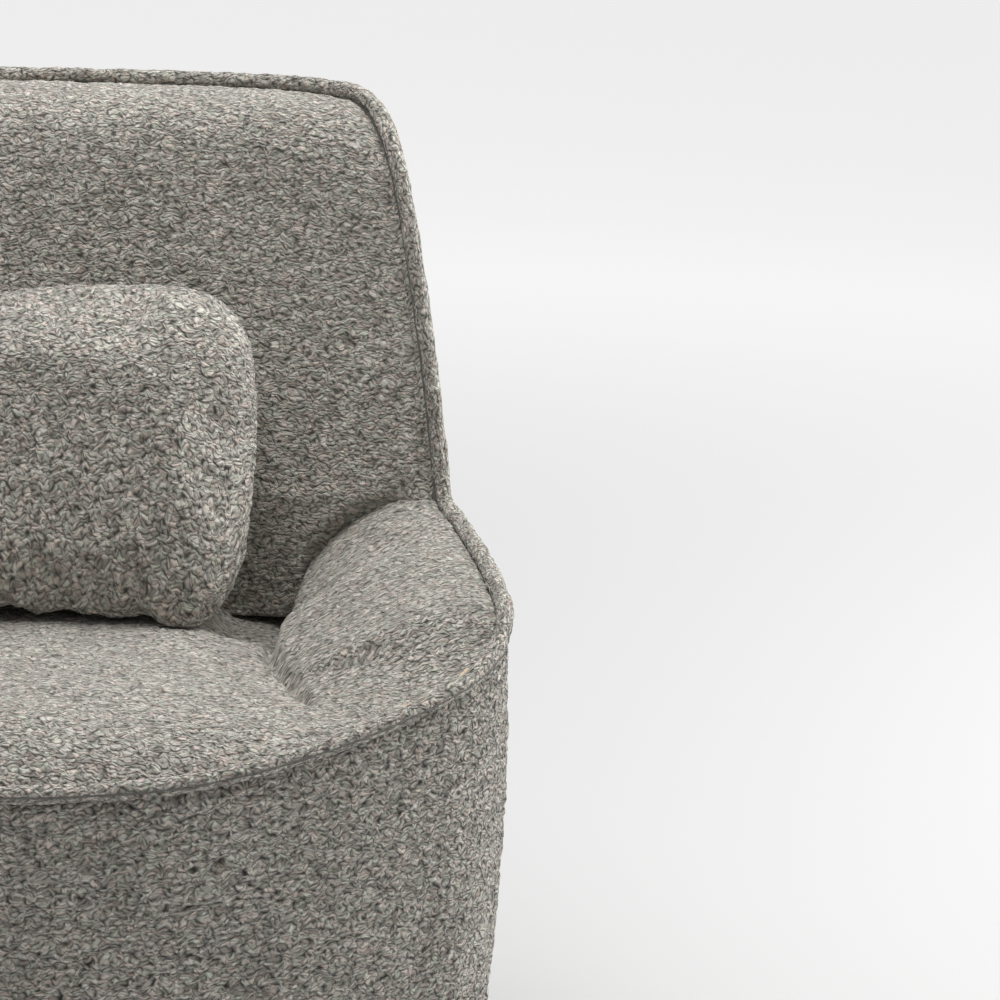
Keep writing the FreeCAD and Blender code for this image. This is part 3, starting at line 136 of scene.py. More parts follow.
def rim_profile():
    """Side view of the rim: stations and levels along straight runs and tangent arcs."""
    corners = [
        (-0.7, 0.379, 0), (-0.378, 0.379, 0.050), (-0.200, 0.477, 0.060),
        (0.0915, 0.500, 0.025), (0.180, 0.832, 0.110), (0.7, 0.832, 0),
    ]
    path = [np.array(corners[0][:2])]
    for (ay, az, _), (by, bz, bend), (cy, cz, _) in zip(corners, corners[1:], corners[2:]):
        here = np.array([by, bz])
        back = np.array([ay, az]) - here
        ahead = np.array([cy, cz]) - here
        back /= np.hypot(*back)
        ahead /= np.hypot(*ahead)
        half = math.acos(np.clip(back @ ahead, -1, 1)) / 2
        middle = (back + ahead) / np.hypot(*(back + ahead))
        centre = here + middle * bend / math.sin(half)
        enter = here + back * bend / math.tan(half)
        leave = here + ahead * bend / math.tan(half)
        first = math.atan2(*(enter - centre)[::-1])
        sweep = math.atan2(*(leave - centre)[::-1]) - first
        sweep = (sweep + math.pi) % (2 * math.pi) - math.pi
        for share in np.linspace(0, 1, 40):
            turn = first + sweep * share
            path.append(centre + bend * np.array([math.cos(turn), math.sin(turn)]))
    path.append(np.array(corners[-1][:2]))
    return np.array(path)


RIM_PROFILE = rim_profile()


def rim_level(station):
    return np.interp(station, RIM_PROFILE[:, 0], RIM_PROFILE[:, 1])


def rim_line(plan, inset):
    """The welt's centre line over every station of the plan."""
    level = np.full(len(plan[1]), 0.4)
    for _ in range(30):
        point = on_plan(plan, inset + draw_in(level))
        level = rim_level(point[:, 1])
    return np.column_stack([point, level])


def lattice(u, v, seed):
    """Smooth random values from -1 to 1 on a grid of whole numbers."""
    def value(i, j):
        mixed = np.sin(i * 127.1 + j * 311.7 + seed * 74.7) * 43758.5453
        return (mixed - np.floor(mixed)) * 2 - 1
    i, j = np.floor(u), np.floor(v)
    a, b = u - i, v - j
    a, b = a * a * (3 - 2 * a), b * b * (3 - 2 * b)
    low = value(i, j) * (1 - a) + value(i + 1, j) * a
    high = value(i, j + 1) * (1 - a) + value(i + 1, j + 1) * a
    return low * (1 - b) + high * b


def pile(u, v, seed):
    """Height of the chenille's tufts over a flat cloth, in metres."""
    small = lattice(u / 0.0062, v / 0.0036, seed)
    turned = lattice((u + v) / 0.0048, (v - u) / 0.0048, seed + 3)
    return 0.00100 * small + 0.00070 * turned


def ease(share):
    share = np.clip(share, 0, 1)
    return share * share * (3 - 2 * share)


def grid_faces(index):
    """Four-sided faces between the rows and columns of a grid of point numbers."""
    corners = [index[:-1, :-1], index[:-1, 1:], index[1:, 1:], index[1:, :-1]]
    return np.stack(corners, 2).reshape(-1, 4).tolist()


def soft_mesh(name, points, faces, cloth):
    """Smooth mesh with its cloth map, both in metres, all faces pointing outwards."""
    mesh = bpy.data.meshes.new(name)
    mesh.from_pydata(np.asarray(points).tolist(), [], faces)
    work = bmesh.new()
    work.from_mesh(mesh)
    bmesh.ops.recalc_face_normals(work, faces=work.faces)
    work.to_mesh(mesh)
    work.free()
    layer = mesh.uv_layers.new(name="cloth")
    corner = np.zeros(len(mesh.loops), np.int32)
    mesh.loops.foreach_get("vertex_index", corner)
    layer.data.foreach_set("uv", np.asarray(cloth, np.float32)[corner].ravel())
    mesh.shade_smooth()
    piece = bpy.data.objects.new(name, mesh)
    bpy.context.scene.collection.objects.link(piece)
    return piece


def grid_normals(points):
    across = np.gradient(points, axis=1)
    along = np.gradient(points, axis=0)
    normal = np.cross(across, along)
    return normal / np.maximum(np.linalg.norm(normal, axis=2, keepdims=True), 1e-12)


def wall_panel(name, plan, chosen, seed):
    """Closed panel: hem, face of the wall up to the welt, and a plain inner side."""
    rows = 175
    under_welt = 0.004
    hem_round = 0.003
    plan = tuple(part[chosen] for part in plan)
    top = rim_line(plan, WELT_INSET)[:, 2] - under_welt
    share = np.linspace(0, 1, rows)[:, None]
    level = HEM_LEVEL + hem_round + share * (top - HEM_LEVEL - hem_round)
    under = top - level
    inset = draw_in(level) + 0.006 * np.exp(-under / 0.005)
    inset = inset + hem_round * np.exp(-(level - HEM_LEVEL) / hem_round)
    seam_side = np.abs(on_plan(plan, 0.0)[:, 1] - SEAM_STATION)[None, :]
    front_half = on_plan(plan, 0.0)[None, :, 1] < 0
    seam_depth = 0.0042 * np.exp(-seam_side / 0.0035)
    allowance = 0.0012 * np.exp(-((seam_side - 0.011) / 0.006) ** 2)
    inset = inset + front_half * (seam_depth - allowance)
    pucker = lattice(plan[3][None, :] / 0.03, level / 0.022, seed + 9)
    inset = inset + front_half * 0.0010 * pucker * np.exp(-seam_side / 0.018)
    stacked = tuple(np.repeat(part[None], rows, 0) for part in plan)
    flat = on_plan(stacked, inset)
    face = np.concatenate([flat, level[..., None]], 2)
    u = np.repeat(plan[3][None], rows, 0)
    wave = 0.0013 * lattice(u / 0.11, level / 0.16, seed)
    wave = wave + 0.0007 * lattice(u / 0.05, level / 0.07, seed + 1)
    normal = grid_normals(face)
    fade = ease(share / 0.02) * ease((1 - share) / 0.01)
    face = face + normal * ((pile(u, level, seed) + wave) * fade)[..., None]
    stages = [face]
    maps = [np.stack([u, level], 2)]
    behind = (
        (0.010, top - 0.004),
        (0.014, top - 0.030),
        (0.014, BELLY_LEVEL),
        (0.012, HEM_LEVEL + 0.005),
        (HEM_WIDTH, HEM_LEVEL + 0.0035),
        (HEM_WIDTH + 0.001, HEM_LEVEL + 0.001),
        (0.004, HEM_LEVEL + 0.0004),
    )
    for inside, height in behind:
        height = np.minimum(height, top)
        ring = on_plan(plan, inside + draw_in(height))
        stages.append(np.column_stack([ring, height])[None])
        maps.append(np.stack([plan[3], 2 * HEM_LEVEL - height - inside], 1)[None])
    points = np.concatenate(stages, 0)
    cloth = np.concatenate(maps, 0)
    height_count, width_count = points.shape[:2]
    index = np.arange(height_count * width_count).reshape(height_count, width_count)
    faces = grid_faces(np.vstack([index, index[:1]]))
    faces.append(index[:, 0].tolist())
    faces.append(index[::-1, -1].tolist())
    return soft_mesh(name, points.reshape(-1, 3), faces, cloth.reshape(-1, 2))


def tuft_group():
    """Chenille seen close: short tufts that lie across each other, with painted shade darkening the gaps
    between them.
    """
    group = bpy.data.node_groups.new("chenille_tufts", "ShaderNodeTree")
    make = group.interface.new_socket
    make("Cloth", in_out="INPUT", socket_type="NodeSocketVector")
    for label, default in (("Tuft Length", 0.0076), ("Tuft Width", 0.0030), ("Painted Shade Depth", 0.8)):
        make(label, in_out="INPUT", socket_type="NodeSocketFloat").default_value = default
    make("Yarn", in_out="INPUT", socket_type="NodeSocketColor")
    make("Pale Yarn", in_out="INPUT", socket_type="NodeSocketColor")
    make("Painted Gap Shade", in_out="INPUT", socket_type="NodeSocketColor")
    make("Color", in_out="OUTPUT", socket_type="NodeSocketColor")
    make("Height", in_out="OUTPUT", socket_type="NodeSocketFloat")
    make("Roughness", in_out="OUTPUT", socket_type="NodeSocketFloat")
    nodes, links = group.nodes, group.links
    source = nodes.new("NodeGroupInput")
    sink = nodes.new("NodeGroupOutput")

    def node(kind, **values):
        made = nodes.new(kind)
        for key, value in values.items():
            setattr(made, key, value)
        return made

    def feed(target, value):
        if isinstance(value, (int, float, tuple)):
            target.default_value = value
        else:
            links.new(value, target)

    def math_node(operation, first, second=0.0, third=None, clamp=False):
        made = node("ShaderNodeMath", operation=operation, use_clamp=clamp)
        feed(made.inputs[0], first)
        feed(made.inputs[1], second)
        if third is not None:
            feed(made.inputs[2], third)
        return made.outputs[0]

    def vector_node(operation, first, second):
        made = node("ShaderNodeVectorMath", operation=operation)
        feed(made.inputs[0], first)
        if operation == "SCALE":
            feed(made.inputs[3], second)
        else:
            feed(made.inputs[1], second)
        return made.outputs[0]

    def mix(kind, factor, first, second):
        made = node("ShaderNodeMix", data_type="RGBA", blend_type=kind)
        feed(made.inputs[0], factor)
        feed(made.inputs[6], first)
        feed(made.inputs[7], second)
        return made.outputs[2]

    cloth = source.outputs["Cloth"]
    drift = node("ShaderNodeTexNoise", noise_dimensions="2D")
    drift.inputs["Scale"].default_value = 75
    drift.inputs["Detail"].default_value = 2
    links.new(cloth, drift.inputs["Vector"])
    centred = vector_node("SUBTRACT", drift.outputs["Color"], (0.5, 0.5, 0.5))
    moved = vector_node("ADD", cloth, vector_node("SCALE", centred, 0.0085))

    def layer(turn, longer, wider, offset):
        """One layer of tufts: how high each point stands and a random value for its tuft."""
        scaled = node("ShaderNodeMapping")
        links.new(moved, scaled.inputs["Vector"])
        scaled.inputs["Rotation"].default_value = (0, 0, math.radians(turn))
        scaled.inputs["Location"].default_value = (offset, offset * 1.7, 0)
        stretch = node("ShaderNodeCombineXYZ")
        links.new(math_node("DIVIDE", longer, source.outputs["Tuft Length"]), stretch.inputs[0])
        links.new(math_node("DIVIDE", wider, source.outputs["Tuft Width"]), stretch.inputs[1])
        spread = vector_node("MULTIPLY", scaled.outputs[0], stretch.outputs[0])
        cell = node("ShaderNodeTexVoronoi", voronoi_dimensions="2D", feature="F1")
        cell.inputs["Scale"].default_value = 1
        cell.inputs["Randomness"].default_value = 1
        links.new(spread, cell.inputs["Vector"])
        pick = node("ShaderNodeSeparateColor")
        links.new(cell.outputs["Color"], pick.inputs[0])
        dome = node("ShaderNodeMapRange", interpolation_type="SMOOTHSTEP")
        links.new(cell.outputs["Distance"], dome.inputs[0])
        dome.inputs[1].default_value = 0.12
        dome.inputs[2].default_value = 0.74
        dome.inputs[3].default_value = 1
        dome.inputs[4].default_value = 0
        stand = math_node("MULTIPLY_ADD", pick.outputs[1], 0.45, 0.62)
        raised = math_node("MULTIPLY", dome.outputs[0], stand)
        return raised, pick.outputs[0], pick.outputs[2]

    lying = layer(6, 1.0, 1.0, 0.0)
    leaning = layer(-24, 1.1, 0.95, 0.37)
    standing = layer(52, 1.25, 1.0, 0.83)
    second = math_node("MULTIPLY", leaning[0], 0.96)
    third = math_node("MULTIPLY", standing[0], 0.80)
    height = math_node("MAXIMUM", math_node("MAXIMUM", lying[0], second), third)
    on_second = math_node("GREATER_THAN", second, lying[0])
    shade = mix("MIX", on_second, lying[1], leaning[1])
    hue = mix("MIX", on_second, lying[2], leaning[2])
    fibre = node("ShaderNodeTexNoise", noise_dimensions="2D")
    fibre.inputs["Scale"].default_value = 1
    fibre.inputs["Detail"].default_value = 2
    links.new(vector_node("MULTIPLY", moved, (650, 1500, 1)), fibre.inputs["Vector"])
    patch = node("ShaderNodeTexNoise", noise_dimensions="2D")
    patch.inputs["Scale"].default_value = 1
    patch.inputs["Detail"].default_value = 3
    links.new(vector_node("MULTIPLY", cloth, (26, 7, 1)), patch.inputs["Vector"])
    yarn = mix("MIX", shade, source.outputs["Yarn"], source.outputs["Pale Yarn"])
    warm = mix("MIX", math_node("GREATER_THAN", hue, 0.72), (1, 1, 1, 1), (1.07, 0.985, 0.965, 1))
    green = mix("MIX", math_node("LESS_THAN", hue, 0.22), (1, 1, 1, 1), (0.965, 1.015, 0.965, 1))
    yarn = mix("MULTIPLY", 1.0, mix("MULTIPLY", 1.0, yarn, warm), green)
    lit = math_node("MULTIPLY_ADD", fibre.outputs[0], 0.5, 0.75)
    lit = math_node("MULTIPLY", lit, math_node("MULTIPLY_ADD", patch.outputs[0], 0.34, 0.83))
    tone = node("ShaderNodeCombineColor")
    for channel in range(3):
        links.new(lit, tone.inputs[channel])
    yarn = mix("MULTIPLY", 1.0, yarn, tone.outputs[0])
    # Painted shade: where the tufts stand low, the colour is pulled towards the dark gap colour, as if
    # shade fell in the gaps.
    painted_gap_shade = math_node("SUBTRACT", 1.0, math_node("MULTIPLY", height, 1.25, clamp=True))
    painted_gap_shade = math_node("MULTIPLY", painted_gap_shade, source.outputs["Painted Shade Depth"])
    links.new(mix("MIX", painted_gap_shade, yarn, source.outputs["Painted Gap Shade"]), sink.inputs["Color"])
    links.new(math_node("MULTIPLY_ADD", fibre.outputs[0], 0.12, height), sink.inputs["Height"])
    links.new(math_node("MULTIPLY_ADD", height, -0.1, 0.98), sink.inputs["Roughness"])
    return group


CHENILLE = tuft_group()


def chenille(name, tuft_length, tuft_width, gap_shade_depth, relief):
    """Warm grey chenille with a soft bloom at grazing angles and painted shade in the gaps between its
    tufts.
    """
    material = bpy.data.materials.new(name)
    material.use_nodes = True
    tree = material.node_tree
    shader = tree.nodes["Principled BSDF"]
    cloth = tree.nodes.new("ShaderNodeUVMap")
    cloth.uv_map = "cloth"
    tufts = tree.nodes.new("ShaderNodeGroup")
    tufts.node_tree = CHENILLE
    tufts.inputs["Tuft Length"].default_value = tuft_length
    tufts.inputs["Tuft Width"].default_value = tuft_width
    tufts.inputs["Painted Shade Depth"].default_value = gap_shade_depth
    tufts.inputs["Yarn"].default_value = (0.270, 0.255, 0.226, 1)
    tufts.inputs["Pale Yarn"].default_value = (0.680, 0.650, 0.588, 1)
    # Dark colour painted into the gaps between tufts as their shade.
    tufts.inputs["Painted Gap Shade"].default_value = (0.030, 0.028, 0.024, 1)
    bump = tree.nodes.new("ShaderNodeBump")
    bump.inputs["Strength"].default_value = 1
    bump.inputs["Distance"].default_value = relief
    tree.links.new(cloth.outputs[0], tufts.inputs["Cloth"])
    tree.links.new(tufts.outputs["Color"], shader.inputs["Base Color"])
    tree.links.new(tufts.outputs["Roughness"], shader.inputs["Roughness"])
    tree.links.new(tufts.outputs["Height"], bump.inputs["Height"])
    tree.links.new(bump.outputs[0], shader.inputs["Normal"])
    shader.inputs["Specular IOR Level"].default_value = 0.15
    shader.inputs["Sheen Weight"].default_value = 0.22
    shader.inputs["Sheen Roughness"].default_value = 0.45
    return material


PLAN = tub_plan(MESH_STEP)
station = on_plan(PLAN, 0.0)
in_front = (station[:, 1] < SEAM_STATION)
order = np.arange(len(station))
left_half = station[:, 0] < 0
front_stations = np.concatenate([order[in_front & left_half], order[in_front & ~left_half]])
wrap_stations = order[~in_front]
cover_front = wall_panel("cover_front", PLAN, front_stations, 11)
cover_wrap = wall_panel("cover_wrap", PLAN, wrap_stations, 23)
OUTER_CLOTH = chenille("chenille_outer", 0.0080, 0.0033, 1.0, 0.0036)
for piece in (cover_front, cover_wrap):
    piece.data.materials.append(OUTER_CLOTH)
    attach(piece, "chair")
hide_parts("outer_cover_front")
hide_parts("outer_cover_wrap", "outer_wadding")


# Welt. A soft cord in a bias strip of the same chenille, sewn into the edge between the outer
# cover and the pads and running once round the whole rim.
WELT_RADIUS = 0.007
line = rim_line(PLAN, WELT_INSET)
tangent = np.roll(line, -1, 0) - np.roll(line, 1, 0)
tangent /= np.linalg.norm(tangent, axis=1, keepdims=True)
level_out = np.column_stack([np.cos(PLAN[2]), np.sin(PLAN[2]), np.zeros(len(line))])
above = np.cross(level_out, tangent)
above /= np.linalg.norm(above, axis=1, keepdims=True)
out = np.cross(tangent, above)
sides = 22
distance = np.concatenate([[0], np.cumsum(np.linalg.norm(np.diff(line, axis=0), axis=1))])
turn = np.arange(sides) / sides * 2 * math.pi
u = np.repeat(distance[:, None], sides, 1)
v = np.repeat((turn * WELT_RADIUS)[None], len(line), 0)
swell = 0.0004 * lattice(u / 0.035, np.zeros_like(u), 41) + 0.8 * pile(u, v, 43)
reach = (WELT_RADIUS + swell)[..., None]
round_out = out[:, None] * np.cos(turn)[None, :, None]
round_up = above[:, None] * np.sin(turn)[None, :, None]
tube = line[:, None] + reach * (round_out + round_up)
index = np.arange(tube.shape[0] * sides).reshape(-1, sides)
index = np.column_stack([index, index[:, 0]])
faces = grid_faces(np.vstack([index, index[:1]]))
welt = soft_mesh("welt_cord", tube.reshape(-1, 3), faces, np.stack([u, v], 2).reshape(-1, 2))
welt.data.materials.append(chenille("chenille_welt", 0.0070, 0.0030, 0.9, 0.0030))
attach(welt, "chair")
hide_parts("welt")


# Seat and arm pads. One cover drawn over the seat's foam and over the foam of both arms: it is
# pulled down into a crease along each side of the seat, and the crease runs out in a short dart
# near the front, where the cover goes from seat to arm in one sweep.
SEAT_LEVEL = 0.424
SEAT_CROWN = 0.011
SEAT_HALF_WIDTH = 0.217
ARM_TOP = 0.502
CREASE_STATIONS = (-0.40, -0.215, -0.086, -0.017, 0.090, 0.20)
CREASE_ACROSS = (0.262, 0.238, 0.217, 0.229, 0.250, 0.270)
LIFT_STATIONS = (-0.30, -0.215, -0.086, -0.017, 0.060, 0.090, 0.20)
CREASE_LIFTS = (0, 0, 0.004, 0.024, 0.040, 0.046, 0.050)
CREASE_DEPTH = 0.011
NOSE_REACH = 0.150
PAD_CORNER_STATION = -0.335
PAD_BACK_STATION = 0.170
RIM = rim_line(PLAN, 0.008)
rim_right = RIM[(RIM[:, 0] >= 0)]
rim_right = rim_right[np.argsort(rim_right[:, 1])]
rim_side = rim_right[rim_right[:, 1] < 0.2]


def seat_crown(across):
    return SEAT_LEVEL - SEAT_CROWN * (across / SEAT_HALF_WIDTH) ** 2


def crease_across(along):
    return np.interp(along, CREASE_STATIONS, CREASE_ACROSS)


def along_curve(points, count):
    """The curve again, with evenly spaced points."""
    step = np.concatenate([[0], np.cumsum(np.linalg.norm(np.diff(points, axis=0), axis=1))])
    where = np.linspace(0, step[-1], count)
    return np.column_stack([np.interp(where, step, points[:, k]) for k in range(points.shape[1])])


def filled_patch(front, back, left, right):
    """Grid between four edges that meet in their ends."""
    rows, columns = len(left), len(front)
    s = np.linspace(0, 1, columns)[None, :, None]
    t = np.linspace(0, 1, rows)[:, None, None]
    ruled = (1 - t) * front[None] + t * back[None] + (1 - s) * left[:, None] + s * right[:, None]
    front_corners = (1 - t) * ((1 - s) * front[0] + s * front[-1])
    back_corners = t * ((1 - s) * back[0] + s * back[-1])
    return ruled - front_corners - back_corners


def rim_distance(points, rim):
    """Distance in plan from every point to the rim, and the nearest rim point."""
    shape = points.shape[:-1]
    flat = points.reshape(-1, 2)
    best = np.zeros(len(flat), int)
    for start in range(0, len(flat), 4000):
        chunk = flat[start:start + 4000]
        best[start:start + 4000] = ((chunk[:, None] - rim[None, :, :2]) ** 2).sum(2).argmin(1)
    near = rim[best]
    return np.linalg.norm(flat - near[:, :2], axis=1).reshape(shape), near.reshape(shape + (3,))


def pad_level(points):
    """Height of the seat and the arms over every plan point."""
    x, y = np.abs(points[..., 0]), points[..., 1]
    gone, near = rim_distance(points, RIM)
    edge = np.minimum(near[..., 2], ARM_TOP) - 0.0035
    crease = crease_across(y)
    side = np.interp(y, rim_side[:, 1], rim_side[:, 0])
    to_arm = ease((y + 0.300) / 0.100)
    share_front = np.clip(gone / NOSE_REACH, 0, 1)
    share_arm = np.clip((side - x) / (side - crease), 0, 1)
    share = share_front * (1 - to_arm) + share_arm * to_arm
    seat = seat_crown(np.minimum(x, 0.26))
    seat = seat - 0.024 * ease((y + 0.050) / 0.050) * ease((x - 0.165) / 0.040)
    lift = np.interp(y, LIFT_STATIONS, CREASE_LIFTS)
    border = seat + lift
    bulge = 0.006 + 0.011 * to_arm
    arm = edge + (border - edge) * share + 4 * bulge * share * (1 - share)
    nose = edge + (border - edge) * (1 - (1 - share_front) ** 4.5)
    arm = nose * (1 - to_arm) + arm * to_arm
    shoulder = 1 - np.exp(-np.clip(x - crease, 0, 1) / 0.010)
    arm = arm + 0.006 * to_arm * shoulder * (1 - share_arm)
    outside = ease((x - crease + 0.004) / 0.010)
    sharp = ease((y + 0.262) / 0.055)
    blend = outside * sharp + (1 - sharp)
    level = seat * (1 - blend) + arm * blend
    level = level - sharp * CREASE_DEPTH * np.exp(-((x - crease) / 0.0055) ** 2)
    level = level - sharp * 0.004 * np.exp(-np.abs(x - crease) / 0.018)
    return level - 0.006 * np.exp(-gone / 0.0055), gone


corner_index = int(np.argmin(np.abs(rim_right[:, 1] - PAD_CORNER_STATION) + (rim_right[:, 0] < 0.2)))
corner_point = rim_right[corner_index, :2]
front_edge = RIM[(RIM[:, 1] < 0)]
front_edge = front_edge[np.abs(front_edge[:, 0]) <= corner_point[0] + 1e-9]
front_edge = front_edge[front_edge[:, 1] < -0.25]
front_edge = front_edge[np.argsort(front_edge[:, 0])][:, :2]
beside = (rim_side[:, 1] >= corner_point[1] - 1e-9) & (rim_side[:, 1] < PAD_BACK_STATION)
side_edge = rim_side[beside & (rim_side[:, 0] > 0.2)][:, :2]
COLUMNS, ROWS = 275, 175
right_edge = along_curve(side_edge, ROWS)
left_edge = right_edge * [-1, 1]
front_edge = along_curve(np.vstack([left_edge[:1], front_edge[1:-1], right_edge[:1]]), COLUMNS)
back_edge = along_curve(np.vstack([left_edge[-1:], right_edge[-1:]]), COLUMNS)
pad_plan = filled_patch(front_edge, back_edge, left_edge, right_edge)
level, gone = pad_level(pad_plan)
x, y = pad_plan[..., 0], pad_plan[..., 1]
level = level + 0.0016 * lattice(x / 0.075, y / 0.060, 5)
level = level + 0.0009 * lattice(x / 0.033, y / 0.030, 6)
dart = np.hypot((np.abs(x) - 0.243) / 0.020, (y + 0.236) / 0.028)
level = level - 0.0035 * np.exp(-dart ** 2)
pad_top = np.dstack([pad_plan, level])
normal = grid_normals(pad_top)
normal *= np.sign(normal[..., 2:3])
pad_top = pad_top + normal * (pile(x, y, 3) * ease(gone / 0.004))[..., None]


def padded_body(name, grid, cloth, sink):
    """Closed pad: the grid is its face, its border goes on by the sink and is closed behind."""
    rows, columns = grid.shape[:2]
    index = np.arange(rows * columns).reshape(rows, columns)
    border = np.concatenate([index[0, :-1], index[:-1, -1], index[-1, :0:-1], index[:0:-1, 0]])
    flat = grid.reshape(-1, 3)
    lower = flat[border] + sink(flat[border])
    points = np.vstack([flat, lower])
    maps = np.vstack([cloth.reshape(-1, 2), cloth.reshape(-1, 2)[border] + 0.02])
    faces = grid_faces(index)
    below = rows * columns + np.arange(len(border))
    faces += np.column_stack([border, np.roll(border, -1), np.roll(below, -1), below]).tolist()
    faces.append(below.tolist())
    return soft_mesh(name, points, faces, maps)


def sink_seat(points):
    inward = -0.03 * points / np.maximum(np.linalg.norm(points[:, :2], axis=1, keepdims=True), 1e-6)
    return np.column_stack([inward[:, 0], np.minimum(inward[:, 1], 0), 0.340 - points[:, 2]])


slope_map = np.dstack([x, y + 0.35 * (level - SEAT_LEVEL)])
seat_arms = padded_body("seat_and_arms", pad_top, slope_map, sink_seat)
PAD_CLOTH = chenille("chenille_pads", 0.0074, 0.0031, 0.85, 0.0028)
seat_arms.data.materials.append(PAD_CLOTH)
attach(seat_arms, "chair")
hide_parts("seat_cover", "seat_foam", "arm_cover_left", "arm_cover_right",
            "arm_foam_left", "arm_foam_right")


# Back pad. A single foam pad with a gently hollow face that rolls back over the top rail and
# meets the welt all round; its lower edge is tucked down between the arms and the seat.
FACE_LOW, FACE_ARM, FACE_HIGH = 0.140, 0.144, 0.214
CREST_START, CREST_DEPTH, CREST_TOP = 0.765, 0.096, 0.8302
BACK_START, BACK_FOOT, BACK_ARM_LEVEL = 0.395, 0.334, 0.500
WING_START = 0.5035
BACK_HOLLOW = 1.114
WING_TURN = 9


def back_hollow(across):
    return BACK_HOLLOW - np.sqrt(BACK_HOLLOW ** 2 - across ** 2)


wing = rim_right[(rim_right[:, 1] > 0.085) & (rim_right[:, 0] > 0.262)]
wing_levels = wing[:, 2] + np.arange(len(wing)) * 1e-7
crown_edge = rim_right[(rim_right[:, 0] < 0.300) & (rim_right[:, 1] > 0.2)]
crown_edge = crown_edge[np.argsort(crown_edge[:, 0])]
low_levels = np.arange(BACK_START, CREST_START, MESH_STEP)
crest_turns = np.radians(np.linspace(0, 88, 400))
BACK_SLOPE = (FACE_HIGH - FACE_ARM) / (CREST_START - BACK_ARM_LEVEL)
crest_bend = 0.57
crest_rise = CREST_TOP - CREST_START
crest_climb = crest_rise * np.sin(crest_turns) ** crest_bend
crest_fall = (CREST_DEPTH - BACK_SLOPE * crest_rise) * (1 - np.cos(crest_turns) ** crest_bend)
crest_path = along_curve(np.column_stack([BACK_SLOPE * crest_climb + crest_fall, crest_climb]), 48)
columns = 221
share = np.linspace(-1, 1, columns)
rows = []
for height in low_levels:
    half = np.interp(max(height, WING_START), wing_levels, wing[:, 0])
    rim_along = np.interp(max(height, WING_START), wing_levels, wing[:, 1])
    across = share * half
    if height < BACK_ARM_LEVEL:
        below_slope = (FACE_ARM - FACE_LOW) / (BACK_ARM_LEVEL - BACK_FOOT)
        face = FACE_LOW + below_slope * (height - BACK_FOOT)
    else:
        face = FACE_ARM + BACK_SLOPE * (height - BACK_ARM_LEVEL)
    along = face - back_hollow(across)
    along = along + (rim_along - along[-1]) * np.abs(share) ** WING_TURN
    rows.append(np.column_stack([across, along, np.full(columns, height)]))
for depth, rise in crest_path[1:]:
    height = CREST_START + rise
    half = np.interp(height, wing_levels, wing[:, 0])
    across = share * half
    along = FACE_HIGH + depth - back_hollow(across)
    rim_along = np.interp(height, wing_levels, wing[:, 1])
    along = along + (rim_along - along[-1]) * np.abs(share) ** WING_TURN
    rows.append(np.column_stack([across, along, np.full(columns, height)]))
last = rows[-1]
reach_back = np.interp(np.abs(last[:, 0]), crown_edge[:, 0], crown_edge[:, 1])
for step in np.linspace(0, 1, 12)[1:]:
    along = last[:, 1] + (np.maximum(reach_back, last[:, 1] + 0.0004) - last[:, 1]) * step
    rows.append(np.column_stack([last[:, 0], along, np.full(columns, CREST_TOP)]))
back_face = np.array(rows)
x, y, z = back_face[..., 0], back_face[..., 1], back_face[..., 2]
row_steps = np.linalg.norm(np.diff(back_face, axis=0), axis=2)
climb = np.concatenate([np.zeros((1, columns)), np.cumsum(row_steps, 0)])
normal = grid_normals(back_face)
normal *= np.where((normal[..., 1:2] - normal[..., 2:3]) > 0, -1, 1)
rim_back = RIM[RIM[:, 1] > 0.08]
flat = back_face.reshape(-1, 3)
near = np.zeros(len(flat))
for start in range(0, len(flat), 4000):
    chunk = flat[start:start + 4000]
    near[start:start + 4000] = np.sqrt(((chunk[:, None] - rim_back[None]) ** 2).sum(2).min(1))
to_rim = near.reshape(x.shape)
arm_top, _ = pad_level(back_face[..., :2].copy())
over_arm = z - np.where(np.abs(x) > 0.245, arm_top, -1)
lift = 0.0009 * lattice(x / 0.12, climb / 0.14, 15)
lift = lift + 0.0006 * lattice(x / 0.05, climb / 0.06, 16)
lift = lift * ease(to_rim / 0.03) + 0.0035 * ease(to_rim / 0.03) - 0.0035
notch = 0.012 * np.exp(-(np.clip(over_arm, 0, 1) / 0.012) ** 2) * (over_arm < 0.5)
lift = lift - 0.004 * np.exp(-to_rim / 0.005) - notch * ease((to_rim - 0.008) / 0.030)
lift = lift + pile(x, climb, 17) * ease(to_rim / 0.004)
back_face = back_face + normal * lift[..., None]


def sink_back(points):
    top = points[:, 2] > 0.80
    low = points[:, 2] < 0.40
    side = ~top & ~low
    moved = np.zeros_like(points)
    moved[top] = (0, -0.012, -0.040)
    moved[low] = (0, 0.050, 0)
    moved[side, 0] = -0.020 * np.sign(points[side, 0])
    moved[side, 1] = 0.028
    return moved


back_pad = padded_body("back_pad", back_face, np.dstack([x, climb]), sink_back)
back_pad.data.materials.append(PAD_CLOTH)
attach(back_pad, "chair")
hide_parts("back_cover", "back_foam")


# Lumbar cushion. A loose feather and fibre pad in a box of the same chenille, closed by a zip in
# its lower edge; it leans against the back and settles on the crown of the seat.
CUSHION_WIDTH, CUSHION_HEIGHT, CUSHION_THICK = 0.432, 0.269, 0.150
CUSHION_CORNER, CUSHION_ROLL, SWELL_ROOM = 0.052, 0.040, 0.010
SWELL_LIMIT = 0.014
FRONT_SAG = 0.054
low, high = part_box("lumbar_cover")
LEAN = math.radians(21)


